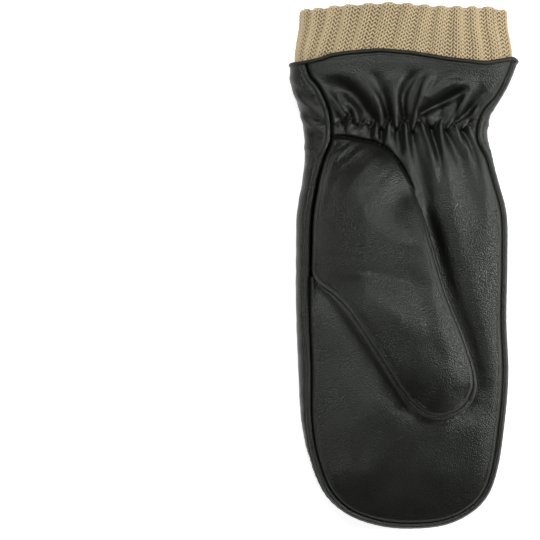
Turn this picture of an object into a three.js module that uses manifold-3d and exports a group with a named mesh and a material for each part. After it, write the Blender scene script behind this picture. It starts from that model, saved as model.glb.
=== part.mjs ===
// A right-hand leather mitten with a rib-knit cuff, lying palm up on its back panel.
// Millimetres, +X to the little-finger side, +Y to the cuff's mouth, +Z up from the surface it lies on.
// The leather wall is a skin over one pillowed body: its sections are superellipses that rise from the
// outline, so back, gusset and palm share one surface and differ only in where their seams lie.
import * as THREE from "three";
import { mergeVertices } from "three/addons/utils/BufferGeometryUtils.js";
import Module from "manifold-3d";

const wasm = await Module();
wasm.setup();

// Walls and clearances
const LEATHER = 1.3; // leather with its lining
const KNIT = 3.4; // folded double rib knit, at a rib's crest
const SEAM_GAP = 0.4; // between two sewn edges
const FREE_EDGE_GAP = 0.6; // thumb's front panel to its back panel, measured upright
const THUMB_CLEARANCE = 0.8; // folded thumb to the palm below it

// The hand's section: a superellipse, steep at the outline and flat in the middle
const SECTION_REACH = 58.5;
const SECTION_POWER = 2.6;
const BACK_REACH = 12;
const BACK_POWER = 2.2;

// The cuff
const CUFF_MOUTH_Y = 134.4;
const CUFF_OVERLAP = 7; // how far it runs under the leather
const RIB_COUNT = 26;
const RIB_DEPTH = 1.2;
const MOUTH_CORNER_DROP = 2.2;

// The rolled binding of the leather's wrist edge
const BINDING_LENGTH = 2;
const BINDING_HEIGHT = 2;

// How many facets each piece has
const GUSSET_STEPS = { top: 3, bottom: 2 };
const PALM_GRID = { across: 22, along: 34 };
const BACK_GRID = { across: 11, along: 34 };
const THUMB_FRONT_GRID = { across: 16, along: 18 };
const THUMB_BACK_GRID = { across: 12, along: 14 };
const BINDING_STEPS = 48;

// The outline from the wrist's thumb side round the tip to its little-finger side,
// with how far inside it the palm seam and the back seam run
const RIM = [
  { x: -58.4, y: 101.9, palm: 7.7, back: 2.0 },
  { x: -57.6, y: 93.2, palm: 10.2, back: 2.0 },
  { x: -54.6, y: 84.0, palm: 12.8, back: 2.6 },
  { x: -52.0, y: 74.8, palm: 13.8, back: 3.1 },
  { x: -50.7, y: 64.5, palm: 13.0, back: 3.1 },
  { x: -50.7, y: 54.3, palm: 8.8, back: 3.1 },
  { x: -52.0, y: 43.0, palm: 7.2, back: 2.6 },
  { x: -54.6, y: 27.7, palm: 7.2, back: 2.0 },
  { x: -55.1, y: 5.6, palm: 6.7, back: 2.0 },
  { x: -55.1, y: -20.0, palm: 6.1, back: 2.0 },
  { x: -54.0, y: -50.7, palm: 6.1, back: 2.0 },
  { x: -52.0, y: -81.5, palm: 4.6, back: 2.0 },
  { x: -47.4, y: -100.9, palm: 3.6, back: 2.6 },
  { x: -40.2, y: -117.3, palm: 3.6, back: 2.6 },
  { x: -28.9, y: -127.8, palm: 3.6, back: 2.6 },
  { x: -12.0, y: -133.5, palm: 3.6, back: 2.6 },
  { x: 5.9, y: -134.7, palm: 3.6, back: 2.6 },
  { x: 23.8, y: -132.2, palm: 3.6, back: 2.6 },
  { x: 37.1, y: -125.0, palm: 3.6, back: 2.6 },
  { x: 44.3, y: -116.3, palm: 3.6, back: 2.6 },
  { x: 48.9, y: -102.5, palm: 3.1, back: 2.0 },
  { x: 52.0, y: -83.0, palm: 2.8, back: 2.0 },
  { x: 54.0, y: -55.8, palm: 2.6, back: 2.0 },
  { x: 53.0, y: -27.7, palm: 2.6, back: 2.0 },
  { x: 53.5, y: 3.1, palm: 2.6, back: 2.0 },
  { x: 53.0, y: 27.2, palm: 2.6, back: 2.0 },
  { x: 49.4, y: 41.5, palm: 2.6, back: 2.0 },
  { x: 45.9, y: 55.3, palm: 3.1, back: 2.0 },
  { x: 43.3, y: 67.1, palm: 5.6, back: 2.6 },
  { x: 44.3, y: 76.3, palm: 4.1, back: 2.6 },
  { x: 49.4, y: 84.5, palm: 2.6, back: 2.6 },
  { x: 54.0, y: 92.7, palm: 2.6, back: 2.0 },
  { x: 58.4, y: 103.5, palm: 2.6, back: 2.0 },
];
const TIP_START = 0.405; // share of the outline's length where the tip's arc starts
const TIP_END = 0.575;

// Heights along the hand: the palm's crown, and the widest level of the section
const HEIGHTS = [
  { y: -134.7, crown: 19.5, level: 9.5 },
  { y: -105, crown: 23.5, level: 10.5 },
  { y: -69, crown: 25.8, level: 11.5 },
  { y: 20, crown: 26.4, level: 12 },
  { y: 52, crown: 26, level: 12 },
  { y: 71, crown: 24.6, level: 12 },
  { y: 94, crown: 28.2, level: 13 },
  { y: 103, crown: 28.9, level: 13 },
  { y: 134.7, crown: 28.9, level: 13 },
];

// The leather's wrist edge on the palm side; on the back it is a plain arch
const WRIST_EDGE = [
  { x: -58.1, y: 102.5 },
  { x: -45.9, y: 104.6 },
  { x: -30.0, y: 107.0 },
  { x: -13.1, y: 108.4 },
  { x: 3.3, y: 107.0 },
  { x: 21.3, y: 104.0 },
  { x: 39.2, y: 102.2 },
  { x: 58.4, y: 102.5 },
];
const BACK_EDGE = { side: 102.6, arch: 9, half: 58 };

// Folds of the palm that run out from the gathers: a ridge or, below zero, a valley
const PALM_FOLDS = [
  { x1: -35.6, y1: 85, x2: -30.3, y2: 77, width: 2.4, height: 1.4 },
  { x1: -15.6, y1: 88, x2: -11.6, y2: 73, width: 3.0, height: 1.7 },
  { x1: -4.9, y1: 97, x2: -3.8, y2: 73, width: 2.6, height: 1.5 },
  { x1: 14.0, y1: 98, x2: 9.5, y2: 90.7, width: 2.8, height: 1.5 },
  { x1: 9.5, y1: 90.7, x2: 5.1, y2: 73, width: 2.8, height: 1.8 },
  { x1: 12.6, y1: 85.2, x2: 24.3, y2: 92.2, width: 2.8, height: 1.5 },
  { x1: 24.3, y1: 92.2, x2: 31.3, y2: 86.1, width: 2.8, height: 1.6 },
  { x1: 31.3, y1: 86.1, x2: 21.5, y2: 73, width: 2.8, height: 1.5 },
  { x1: 50.0, y1: 89, x2: 29.5, y2: 73, width: 3.0, height: 1.5 },
  { x1: -40.9, y1: 93.0, x2: -25.9, y2: 88.3, width: 4.0, height: -1.6 },
  { x1: -25.9, y1: 88.3, x2: -17, y2: 75, width: 3.6, height: -1.7 },
  { x1: 4.5, y1: 97, x2: 0.5, y2: 86.6, width: 3.0, height: -1.5 },
  { x1: 9, y1: 79, x2: 24, y2: 83, width: 3.0, height: -1.6 },
  { x1: -42, y1: 71.2, x2: 41, y2: 70.2, width: 2.4, height: -1.5 },
  { x1: -15.3, y1: 68, x2: -15.0, y2: 65.7, width: 2.2, height: 0.8 },
  { x1: 0.5, y1: 69, x2: 2.5, y2: 54, width: 2.8, height: 1.4 },
  { x1: 9.3, y1: 69, x2: 14.1, y2: 49, width: 2.8, height: 1.5 },
  { x1: 14.1, y1: 49, x2: 16, y2: 34, width: 3.0, height: 1.2 },
  { x1: 17.6, y1: 69, x2: 21.5, y2: 38, width: 3.2, height: 1.4 },
  { x1: 21.5, y1: 38, x2: 27.5, y2: -2, width: 3.6, height: 1.2 },
  { x1: 33.0, y1: 69, x2: 41.3, y2: 38, width: 2.8, height: 1.3 },
  { x1: 41.3, y1: 38, x2: 41.8, y2: 12, width: 3.0, height: 1.0 },
  { x1: 12, y1: 47, x2: 19.7, y2: -2, width: 4.5, height: -1.4 },
  { x1: 20, y1: 67, x2: 35.6, y2: 35, width: 3.4, height: -1.2 },
];
const FOLD_FADE = 6; // the folds die out this close to the palm seam
const FOLD_START_Y = 101; // and towards the wrist edge
const FOLD_FULL_Y = 94;

// The thumb lies folded over the palm. Its base seam, its two free edges and its tip;
// z is the height of the free edges, where the front panel meets the back one
const THUMB_BASE = [
  { x: -38.7, y: 65.2 },
  { x: -31.1, y: 65.8 },
  { x: -22.8, y: 64.4 },
  { x: -14.6, y: 62.4 },
  { x: -6.9, y: 57.6 },
  { x: 0.6, y: 47.0 },
  { x: 4.3, y: 38.4 },
];
const THUMB_LEFT = [
  { x: -45.3, y: -7.7, z: 24.2 },
  { x: -37.7, y: -15.4, z: 28.0 },
  { x: -30.5, y: -24.1, z: 30.2 },
  { x: -16.6, y: -44.6, z: 31.4 },
  { x: -4.9, y: -62.9, z: 31.0 },
  { x: 0.4, y: -70.0, z: 30.6 },
];
const THUMB_TIP = [
  { x: 0.4, y: -70.0, z: 30.6 },
  { x: 8.4, y: -76.2, z: 29.8 },
  { x: 16.3, y: -78.4, z: 29.2 },
  { x: 23.8, y: -77.0, z: 28.8 },
  { x: 29.9, y: -73.7, z: 28.6 },
  { x: 34.0, y: -69.2, z: 28.6 },
];
const THUMB_RIGHT = [
  { x: 8.4, y: 27.7, z: 30.6 },
  { x: 13.6, y: 11.0, z: 31.8 },
  { x: 20.7, y: -12.7, z: 31.8 },
  { x: 30.4, y: -37.4, z: 30.6 },
  { x: 35.7, y: -54.8, z: 29.2 },
  { x: 36.3, y: -62.0, z: 28.8 },
  { x: 34.0, y: -69.2, z: 28.6 },
];
const THUMB_CORNER_Z = 28.6; // where the base seam ends at the free right edge
const THUMB_ROOT = { top: 65.2, bottom: -5.0 }; // stretch of the palm seam that carries the thumb
const CROTCH = [
  { x: 4.9, y: 36.5 },
  { x: -8, y: 17 },
  { x: -27, y: 0 },
  { x: -52, y: -9 },
];
const THUMB_BACK_TOP = [
  { x: -43.6, y: -9.8 },
  { x: -27, y: -4 },
  { x: -6, y: 11 },
  { x: 8.6, y: 26.8 },
];
const THUMB_SWELL = { base: 14, tip: 8.5 };
const FREE_EDGE_RISE = { reach: 21, power: 2 }; // steep beside the thumb's free edges
const SEWN_EDGE_RISE = { reach: 24, power: 1.5 }; // gentler beside its base seam and root
const THUMB_SINK = { depth: 6, reach: 9, power: 2 };

// Colours and finishes
const BLACK_LEATHER = { color: 0x2b2b29, roughness: 0.5, metalness: 0 };
const BEIGE_KNIT = { color: 0xc9b48f, roughness: 0.95, metalness: 0 };

// A value read off a table's column by straight lines between rows, which are in the order of `key`.
function lookup(table, key, at, column) {
  if (at <= table[0][key]) return table[0][column];
  for (let i = 1; i < table.length; i++) {
    const before = table[i - 1];
    const after = table[i];
    if (at <= after[key]) {
      const share = (at - before[key]) / (after[key] - before[key]);
      return THREE.MathUtils.lerp(before[column], after[column], share);
    }
  }
  return table[table.length - 1][column];
}

// A smooth curve through a table's x, y and z columns.
function curveThrough(table) {
  const points = table.map((row) => new THREE.Vector3(row.x, row.y, row.z ?? 0));
  return new THREE.CatmullRomCurve3(points, false, "centripetal");
}

const rimCurve = curveThrough(RIM);
rimCurve.arcLengthDivisions = 800;
const seamInsets = new THREE.CatmullRomCurve3(
  RIM.map((row) => new THREE.Vector3(row.palm, row.back, 0)),
);

// The outline at a share of its length: the point, the way inwards, and the two seams' insets.
function rimAt(share) {
  const t = rimCurve.getUtoTmapping(share);
  const tangent = rimCurve.getTangent(t);
  const insets = seamInsets.getPoint(t);
  return {
    point: rimCurve.getPoint(t),
    inward: new THREE.Vector3(-tangent.y, tangent.x, 0).normalize(),
    palm: insets.x,
    back: insets.y,
  };
}

const RIM_PARTS = 320;
const RIM_SAMPLES = Array.from({ length: RIM_PARTS + 1 }, (_, i) => rimAt(i / RIM_PARTS));

// How far inside the outline a place is, the way out to it, and the palm seam's inset there.
function rimDistance(x, y) {
  const here = new THREE.Vector3(x, y, 0);
  const line = new THREE.Line3();
  const nearest = new THREE.Vector3();
  const found = new THREE.Vector3();
  let distance = Infinity;
  let seam = 0;
  for (let i = 1; i < RIM_SAMPLES.length; i++) {
    line.set(RIM_SAMPLES[i - 1].point, RIM_SAMPLES[i].point);
    line.closestPointToPoint(here, true, found);
    if (found.distanceTo(here) < distance) {
      distance = found.distanceTo(here);
      seam = RIM_SAMPLES[i].palm;
      nearest.copy(found);
    }
  }
  return { distance, seam, outward: nearest.sub(here).normalize() };
}

// A point of the hand's skin a distance inside the outline, and the skin's outward direction there.
// side is 1 for the palm and -1 for the back.
function skin(x, y, distance, outward, side) {
  const level = lookup(HEIGHTS, "y", y, "level");
  const crown = lookup(HEIGHTS, "y", y, "crown");
  const rise = side > 0 ? crown - level : level;
  const reach = side > 0 ? SECTION_REACH : BACK_REACH;
  const power = side > 0 ? SECTION_POWER : BACK_POWER;
  const run = Math.max(0, 1 - distance / reach);
  const lift = Math.pow(Math.max(0, 1 - Math.pow(run, power)), 1 / power);
  const slopeOut = Math.pow(run, power - 1) / reach;
  const slopeUp = Math.pow(lift, power - 1) / rise;
  const normal = outward.clone().multiplyScalar(slopeOut);
  normal.z = side * slopeUp;
  return {
    outer: new THREE.Vector3(x, y, level + side * rise * lift),
    normal: normal.normalize(),
  };
}

// Height of the palm's folds at a place that lies some way inside the palm seam.
function palmFolds(x, y, insideSeam) {
  const fade =
    THREE.MathUtils.smoothstep(insideSeam, SEAM_GAP, FOLD_FADE) *
    (1 - THREE.MathUtils.smoothstep(y, FOLD_FULL_Y, FOLD_START_Y));
  const here = new THREE.Vector3(x, y, 0);
  const nearest = new THREE.Vector3();
  let height = 0;
  for (const fold of PALM_FOLDS) {
    const line = new THREE.Line3(
      new THREE.Vector3(fold.x1, fold.y1, 0),
      new THREE.Vector3(fold.x2, fold.y2, 0),
    );
    line.closestPointToPoint(here, true, nearest);
    height += fold.height * Math.exp(-((nearest.distanceTo(here) / fold.width) ** 2));
  }
  return height * fade;
}

function palmSkin(x, y) {
  const { distance, seam, outward } = rimDistance(x, y);
  const at = skin(x, y, distance, outward, 1);
  at.outer.z += palmFolds(x, y, distance - seam);
  return at;
}

function backSkin(x, y) {
  const { distance, outward } = rimDistance(x, y);
  return skin(x, y, distance, outward, -1);
}

function wristEdge(x, side) {
  if (side > 0) return lookup(WRIST_EDGE, "x", x, "y");
  const across = Math.min(1, Math.abs(x) / BACK_EDGE.half);
  return BACK_EDGE.side + BACK_EDGE.arch * (1 - across * across);
}

// A closed loft through loops of points. Loops and points both count up; a closed loft joins
// its last loop to its first, and an open one is capped between each loop's two halves.
function loft(loops, closed, flip) {
  const perLoop = loops[0].length;
  const positions = loops.flat().flatMap((p) => [p.x, p.y, p.z]);
  const index = [];
  const face = (a, b, c) => index.push(...(flip ? [a, c, b] : [a, b, c]));
  const quad = (a, b, c, d) => {
    face(a, b, c);
    face(a, c, d);
  };
  const spans = closed ? loops.length : loops.length - 1;
  for (let j = 0; j < spans; j++) {
    const next = (j + 1) % loops.length;
    for (let i = 0; i < perLoop; i++) {
      const side = (i + 1) % perLoop;
      quad(
        j * perLoop + i,
        j * perLoop + side,
        next * perLoop + side,
        next * perLoop + i,
      );
    }
  }
  if (!closed) {
    const last = (loops.length - 1) * perLoop;
    for (let i = 0; i < perLoop / 2 - 1; i++) {
      const across = perLoop - 1 - i;
      quad(across, across - 1, i + 1, i);
      quad(last + i, last + i + 1, last + across - 1, last + across);
    }
  }
  const geometry = new THREE.BufferGeometry();
  geometry.setAttribute("position", new THREE.Float32BufferAttribute(positions, 3));
  geometry.setIndex(index);
  return geometry;
}

// A leather panel from rows of skin points, each with its outward direction.
function panel(rows, flip) {
  const loops = rows.map((row) => [
    ...row.map((at) => at.outer),
    ...row
      .map((at) => at.outer.clone().addScaledVector(at.normal, -LEATHER))
      .reverse(),
  ]);
  return loft(loops, false, flip);
}

// A grid of places inside four side curves: top and bottom run across, left and right run down.
function coonsGrid(sides, across, along, spread) {
  const { top, bottom, left, right } = sides;
  const rows = [];
  for (let j = 0; j <= along; j++) {
    const v = spread(j / along);
    const row = [];
    for (let i = 0; i <= across; i++) {
      const u = i / across;
      const place = new THREE.Vector3()
        .addScaledVector(top(u), 1 - v)
        .addScaledVector(bottom(u), v)
        .addScaledVector(left(v), 1 - u)
        .addScaledVector(right(v), u)
        .addScaledVector(top(0), -(1 - u) * (1 - v))
        .addScaledVector(top(1), -u * (1 - v))
        .addScaledVector(bottom(0), -(1 - u) * v)
        .addScaledVector(bottom(1), -u * v);
      row.push(place);
    }
    rows.push(row);
  }
  return rows;
}

// Rows lie closer together towards the wrist, where the gathers are.
function rowSpread(share) {
  return share ** 1.5;
}

// The edge of the palm or the back panel, just inside its seam with the gusset.
function panelEdge(share, seam) {
  const rim = rimAt(share);
  return rim.point.addScaledVector(rim.inward, rim[seam] + SEAM_GAP);
}

function handPanelSides(seam, side) {
  const left = (v) => panelEdge(TIP_START * v, seam);
  const right = (v) => panelEdge(1 - (1 - TIP_END) * v, seam);
  const bottom = (u) => panelEdge(THREE.MathUtils.lerp(TIP_START, TIP_END, u), seam);
  const top = (u) => {
    const edge = left(0).lerp(right(0), u);
    const arch = wristEdge(edge.x, side) - edge.y;
    edge.y += arch * Math.min(1, 8 * u, 8 * (1 - u));
    return edge;
  };
  return { top, bottom, left, right };
}

// Flattened prism over a closed outline, tall enough to cut right through a panel.
function cutter(points) {
  const shape = new THREE.Shape(points.map((p) => new THREE.Vector2(p.x, p.y)));
  const geometry = new THREE.ExtrudeGeometry(shape, { depth: 60, bevelEnabled: false });
  return geometry.translate(0, 0, -5);
}

function toSolid(geometry) {
  const bare = geometry.clone();
  bare.deleteAttribute("normal");
  bare.deleteAttribute("uv");
  const merged = mergeVertices(bare, 1e-3);
  return new wasm.Manifold(
    new wasm.Mesh({
      numProp: 3,
      vertProperties: merged.attributes.position.array,
      triVerts: new Uint32Array(merged.index.array),
    }),
  );
}

function toGeometry(solid) {
  const mesh = solid.getMesh();
  const geometry = new THREE.BufferGeometry();
  geometry.setAttribute("position", new THREE.BufferAttribute(mesh.vertProperties, 3));
  geometry.setIndex(new THREE.BufferAttribute(mesh.triVerts, 1));
  return geometry;
}

function makePalmPanel() {
  const { across, along } = PALM_GRID;
  const grid = coonsGrid(handPanelSides("palm", 1), across, along, rowSpread);
  const whole = panel(grid.map((row) => row.map((p) => palmSkin(p.x, p.y))), true);
  const baseSeam = curveThrough(THUMB_BASE);
  const BASE_STEPS = 16;
  const CHORD_EASE = 0.15;
  const seamSide = Array.from({ length: BASE_STEPS + 1 }, (_, i) => {
    const tangent = baseSeam.getTangent(i / BASE_STEPS);
    const away = new THREE.Vector3(-tangent.y, tangent.x, 0).setLength(SEAM_GAP + CHORD_EASE);
    return baseSeam.getPoint(i / BASE_STEPS).add(away);
  });
  const outside = RIM[0].x - 4;
  const opening = [
    { x: outside, y: seamSide[0].y },
    ...seamSide,
    ...curveThrough(CROTCH).getPoints(10),
    { x: outside, y: CROTCH[CROTCH.length - 1].y },
  ];
  return toGeometry(toSolid(whole).subtract(toSolid(cutter(opening))));
}

function makeBackPanel() {
  const { across, along } = BACK_GRID;
  const grid = coonsGrid(handPanelSides("back", -1), across, along, rowSpread);
  return panel(grid.map((row) => row.map((p) => backSkin(p.x, p.y))), false);
}

// Shares of the outline's length, the same as those of the palm's rows and lowest columns.
function gussetStations() {
  const { across, along } = PALM_GRID;
  const stations = [];
  for (let j = 0; j < along; j++) stations.push(TIP_START * rowSpread(j / along));
  for (let i = 0; i < across; i++) {
    stations.push(THREE.MathUtils.lerp(TIP_START, TIP_END, i / across));
  }
  for (let j = along; j >= 0; j--) stations.push(1 - (1 - TIP_END) * rowSpread(j / along));
  return stations;
}

// The gusset is the band of the skin between the palm seam and the back seam.
function makeSideGusset() {
  const rows = [];
  for (const station of gussetStations()) {
    const rim = rimAt(station);
    const outward = rim.inward.clone().negate();
    const at = (distance, side) => {
      const place = rim.point.clone().addScaledVector(rim.inward, distance);
      return skin(place.x, place.y, distance, outward, side);
    };
    const row = [];
    for (let i = 0; i <= GUSSET_STEPS.top; i++) {
      const share = 1 - i / GUSSET_STEPS.top;
      row.push(at(rim.palm * share ** 2.2, 1));
    }
    for (let i = 1; i <= GUSSET_STEPS.bottom; i++) {
      row.push(at(rim.back * (i / GUSSET_STEPS.bottom) ** 2, -1));
    }
    rows.push(row);
  }
  return panel(rows, false);
}

// Outward directions of a grid of points, from its neighbours. turn is 1 or -1.
function gridNormals(rows, turn) {
  const pick = (j, i) =>
    rows[THREE.MathUtils.clamp(j, 0, rows.length - 1)][
      THREE.MathUtils.clamp(i, 0, rows[0].length - 1)
    ];
  return rows.map((row, j) =>
    row.map((_, i) => {
      const alongX = pick(j, i + 1).clone().sub(pick(j, i - 1));
      const alongY = pick(j + 1, i).clone().sub(pick(j - 1, i));
      return alongY.cross(alongX).normalize().multiplyScalar(turn);
    }),
  );
}

// How far a place is from the nearest of some outlines, each a row of points laid flat.
function distanceToSides(place, outlines) {
  const flat = new THREE.Vector3(place.x, place.y, 0);
  const line = new THREE.Line3();
  const nearest = new THREE.Vector3();
  let distance = Infinity;
  for (const outline of outlines) {
    for (let i = 1; i < outline.length; i++) {
      line.set(outline[i - 1], outline[i]);
      line.closestPointToPoint(flat, true, nearest);
      distance = Math.min(distance, nearest.distanceTo(flat));
    }
  }
  return distance;
}

function dome(distance, { reach, power }) {
  const run = Math.max(0, 1 - distance / reach);
  return Math.pow(Math.max(0, 1 - Math.pow(run, power)), 1 / power);
}

// A curve as a function of 0 to 1 by length, and its points laid flat.
function sideCurve(curve) {
  return {
    at: (share) => curve.getPointAt(share),
    flat: curve.getPoints(60).map((p) => new THREE.Vector3(p.x, p.y, 0)),
  };
}

// The place on the outline's thumb side at a height y, as a share of the outline's length.
function rimShareAt(y) {
  let share = 0;
  while (rimAt(share).point.y > y) share += 0.001;
  return share;
}

function thumbSides() {
  const palmZ = (x, y) => palmSkin(x, y).outer.z;
  const rootTop = rimShareAt(THUMB_ROOT.top);
  const rootBottom = rimShareAt(THUMB_ROOT.bottom + 3);
  const root = [];
  const ROOT_POINTS = 18;
  const ROOT_EASE = 0.5;
  for (let i = 0; i < ROOT_POINTS; i++) {
    const share = THREE.MathUtils.lerp(rootTop, rootBottom, i / (ROOT_POINTS - 1));
    const rim = rimAt(share);
    const place = rim.point.addScaledVector(rim.inward, rim.palm + SEAM_GAP + ROOT_EASE);
    const { outer } = skin(place.x, place.y, rim.palm, rim.inward, 1);
    root.push({ x: place.x, y: place.y, z: outer.z });
  }
  const base = THUMB_BASE.map((p, i) => ({
    x: p.x,
    y: p.y,
    z: i === THUMB_BASE.length - 1 ? THUMB_CORNER_Z : palmZ(p.x, p.y),
  }));
  base[0] = root[0];
  const corner = base[base.length - 1];
  return {
    top: sideCurve(curveThrough(base)),
    left: sideCurve(curveThrough([...root, ...THUMB_LEFT])),
    bottom: sideCurve(curveThrough(THUMB_TIP)),
    right: sideCurve(curveThrough([corner, ...THUMB_RIGHT])),
  };
}

// Steps that are closer together towards both ends.
function eased(share) {
  return (1 - Math.cos(Math.PI * share)) / 2;
}

function makeThumbFront() {
  const sides = thumbSides();
  const functions = {
    top: (u) => sides.top.at(eased(u)),
    bottom: (u) => sides.bottom.at(eased(u)),
    left: (v) => sides.left.at(v),
    right: (v) => sides.right.at(v),
  };
  const spread = (v) => 1 - (1 - v) ** 1.25;
  const { across, along } = THUMB_FRONT_GRID;
  const grid = coonsGrid(functions, across, along, spread);
  const root = sides.left.flat.filter((p) => p.y > THUMB_ROOT.bottom);
  const freeLeft = sides.left.flat.filter((p) => p.y <= THUMB_ROOT.bottom);
  const sewn = [sides.top.flat, root];
  const free = [freeLeft, sides.bottom.flat, sides.right.flat];
  grid.forEach((row, j) =>
    row.forEach((place) => {
      const swell = THREE.MathUtils.lerp(THUMB_SWELL.base, THUMB_SWELL.tip, spread(j / along));
      const fromSewn = dome(distanceToSides(place, sewn), SEWN_EDGE_RISE);
      const fromFree = dome(distanceToSides(place, free), FREE_EDGE_RISE);
      place.z += swell * fromSewn * fromFree;
    }),
  );
  const normals = gridNormals(grid, 1);
  return panel(
    grid.map((row, j) =>
      row.map((outer, i) => {
        const normal = normals[j][i];
        const freeEdge = i === 0 || i === across || j === along;
        const onRoot = i === 0 && outer.y > THUMB_ROOT.bottom;
        if (j === 0) normal.set(0, 0, 1);
        else if (onRoot) normal.copy(palmSkin(outer.x, outer.y).normal);
        else if (freeEdge) normal.setZ(0).normalize();
        return { outer, normal };
      }),
    ),
    true,
  );
}

function makeThumbBack() {
  const top = sideCurve(
    curveThrough(
      THUMB_BACK_TOP.map((p) => ({
        x: p.x,
        y: p.y,
        z: palmSkin(p.x, p.y).outer.z + THUMB_CLEARANCE,
      })),
    ),
  );
  const lower = (row) => ({ ...row, z: row.z - FREE_EDGE_GAP });
  const start = top.at(0);
  const end = top.at(1);
  const left = sideCurve(curveThrough([start, ...THUMB_LEFT.slice(1).map(lower)]));
  const right = sideCurve(curveThrough([end, ...THUMB_RIGHT.slice(1).map(lower)]));
  const bottom = sideCurve(curveThrough(THUMB_TIP.map(lower)));
  const functions = {
    top: (u) => top.at(eased(u)),
    bottom: (u) => bottom.at(eased(u)),
    left: (v) => left.at(v),
    right: (v) => right.at(v),
  };
  const { across, along } = THUMB_BACK_GRID;
  const grid = coonsGrid(functions, across, along, (v) => 1 - (1 - v) ** 1.25);
  const outlines = [left.flat, bottom.flat, right.flat];
  grid.forEach((row) =>
    row.forEach((place) => {
      const sunk = place.z - THUMB_SINK.depth * dome(distanceToSides(place, outlines), THUMB_SINK);
      place.z = Math.max(sunk, palmSkin(place.x, place.y).outer.z + THUMB_CLEARANCE);
    }),
  );
  const normals = gridNormals(grid, -1);
  return panel(
    grid.map((row, j) =>
      row.map((outer, i) => {
        const normal = normals[j][i];
        const freeEdge = (i === 0 || i === across || j === along) && j > 0;
        if (freeEdge) normal.setZ(0).normalize();
        return { outer, normal };
      }),
    ),
    false,
  );
}

// The cuff's half width, and its crest heights on top and below, along the arm
const CUFF = [
  { y: 97, half: 52.0, top: 24.0, bottom: 1.8 },
  { y: 104.5, half: 55.6, top: 26.2, bottom: 2.0 },
  { y: 108.6, half: 55.7, top: 26.3, bottom: 2.5 },
  { y: 114.7, half: 54.8, top: 26.3, bottom: 2.5 },
  { y: 122, half: 53.5, top: 25.8, bottom: 0 },
  { y: 134.7, half: 53, top: 25.2, bottom: 0 },
];
const CUFF_FREE_Y = 122; // from here to the mouth the cuff lies on the surface

// A point of the cuff's wall: angle round it, place along the arm, and depth below the crests.
function cuffPoint(angle, y, depth) {
  const top = lookup(CUFF, "y", y, "top");
  const bottom = lookup(CUFF, "y", y, "bottom");
  const half = lookup(CUFF, "y", y, "half") - depth;
  const level = (top + bottom) / 2;
  const rise = (top - bottom) / 2 - depth;
  const c = Math.cos(angle);
  const s = Math.sin(angle);
  const square = 2 / SECTION_POWER;
  return new THREE.Vector3(
    half * Math.sign(c) * Math.abs(c) ** square,
    y,
    level + rise * Math.sign(s) * Math.abs(s) ** square,
  );
}

// Angles that cut the cuff's section into even lengths.
function evenAngles(count) {
  const FINE = 1440;
  const lengths = [0];
  for (let i = 1; i <= FINE; i++) {
    const before = cuffPoint(((i - 1) / FINE) * 2 * Math.PI, 120, 0);
    const after = cuffPoint((i / FINE) * 2 * Math.PI, 120, 0);
    lengths.push(lengths[i - 1] + before.distanceTo(after));
  }
  const angles = [];
  let i = 0;
  for (let k = 0; k < count; k++) {
    const target = (k / count) * lengths[FINE];
    while (lengths[i + 1] < target) i++;
    const share = (target - lengths[i]) / (lengths[i + 1] - lengths[i]);
    angles.push(((i + share) / FINE) * 2 * Math.PI);
  }
  return angles;
}

function makeRibCuff() {
  const POINTS_PER_RIB = 4;
  const angles = evenAngles(RIB_COUNT * POINTS_PER_RIB);
  const loops = angles.map((angle, k) => {
    const valley = k % POINTS_PER_RIB < 2 ? 0 : RIB_DEPTH;
    const corner = Math.abs(Math.cos(angle)) ** 6;
    const mouth = CUFF_MOUTH_Y - MOUTH_CORNER_DROP * corner;
    const side = Math.sin(angle) >= 0 ? 1 : -1;
    const x = cuffPoint(angle, 104.5, 0).x;
    const inner = wristEdge(x, side) - CUFF_OVERLAP;
    const edge = inner + CUFF_OVERLAP + BINDING_LENGTH + 2 * SEAM_GAP;
    const roll = KNIT / 2;
    return [
      cuffPoint(angle, inner, valley),
      cuffPoint(angle, edge, valley),
      cuffPoint(angle, CUFF_FREE_Y, valley),
      cuffPoint(angle, mouth - roll, valley),
      cuffPoint(angle, mouth - 0.3 * roll, valley + 0.3 * (roll - valley / 2)),
      cuffPoint(angle, mouth, roll + valley / 2),
      cuffPoint(angle, mouth - 0.3 * roll, KNIT - 0.3 * (roll - valley / 2)),
      cuffPoint(angle, mouth - roll, KNIT),
      cuffPoint(angle, CUFF_FREE_Y, KNIT),
      cuffPoint(angle, inner, KNIT),
    ];
  });
  return loft(loops, true, false);
}

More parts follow.
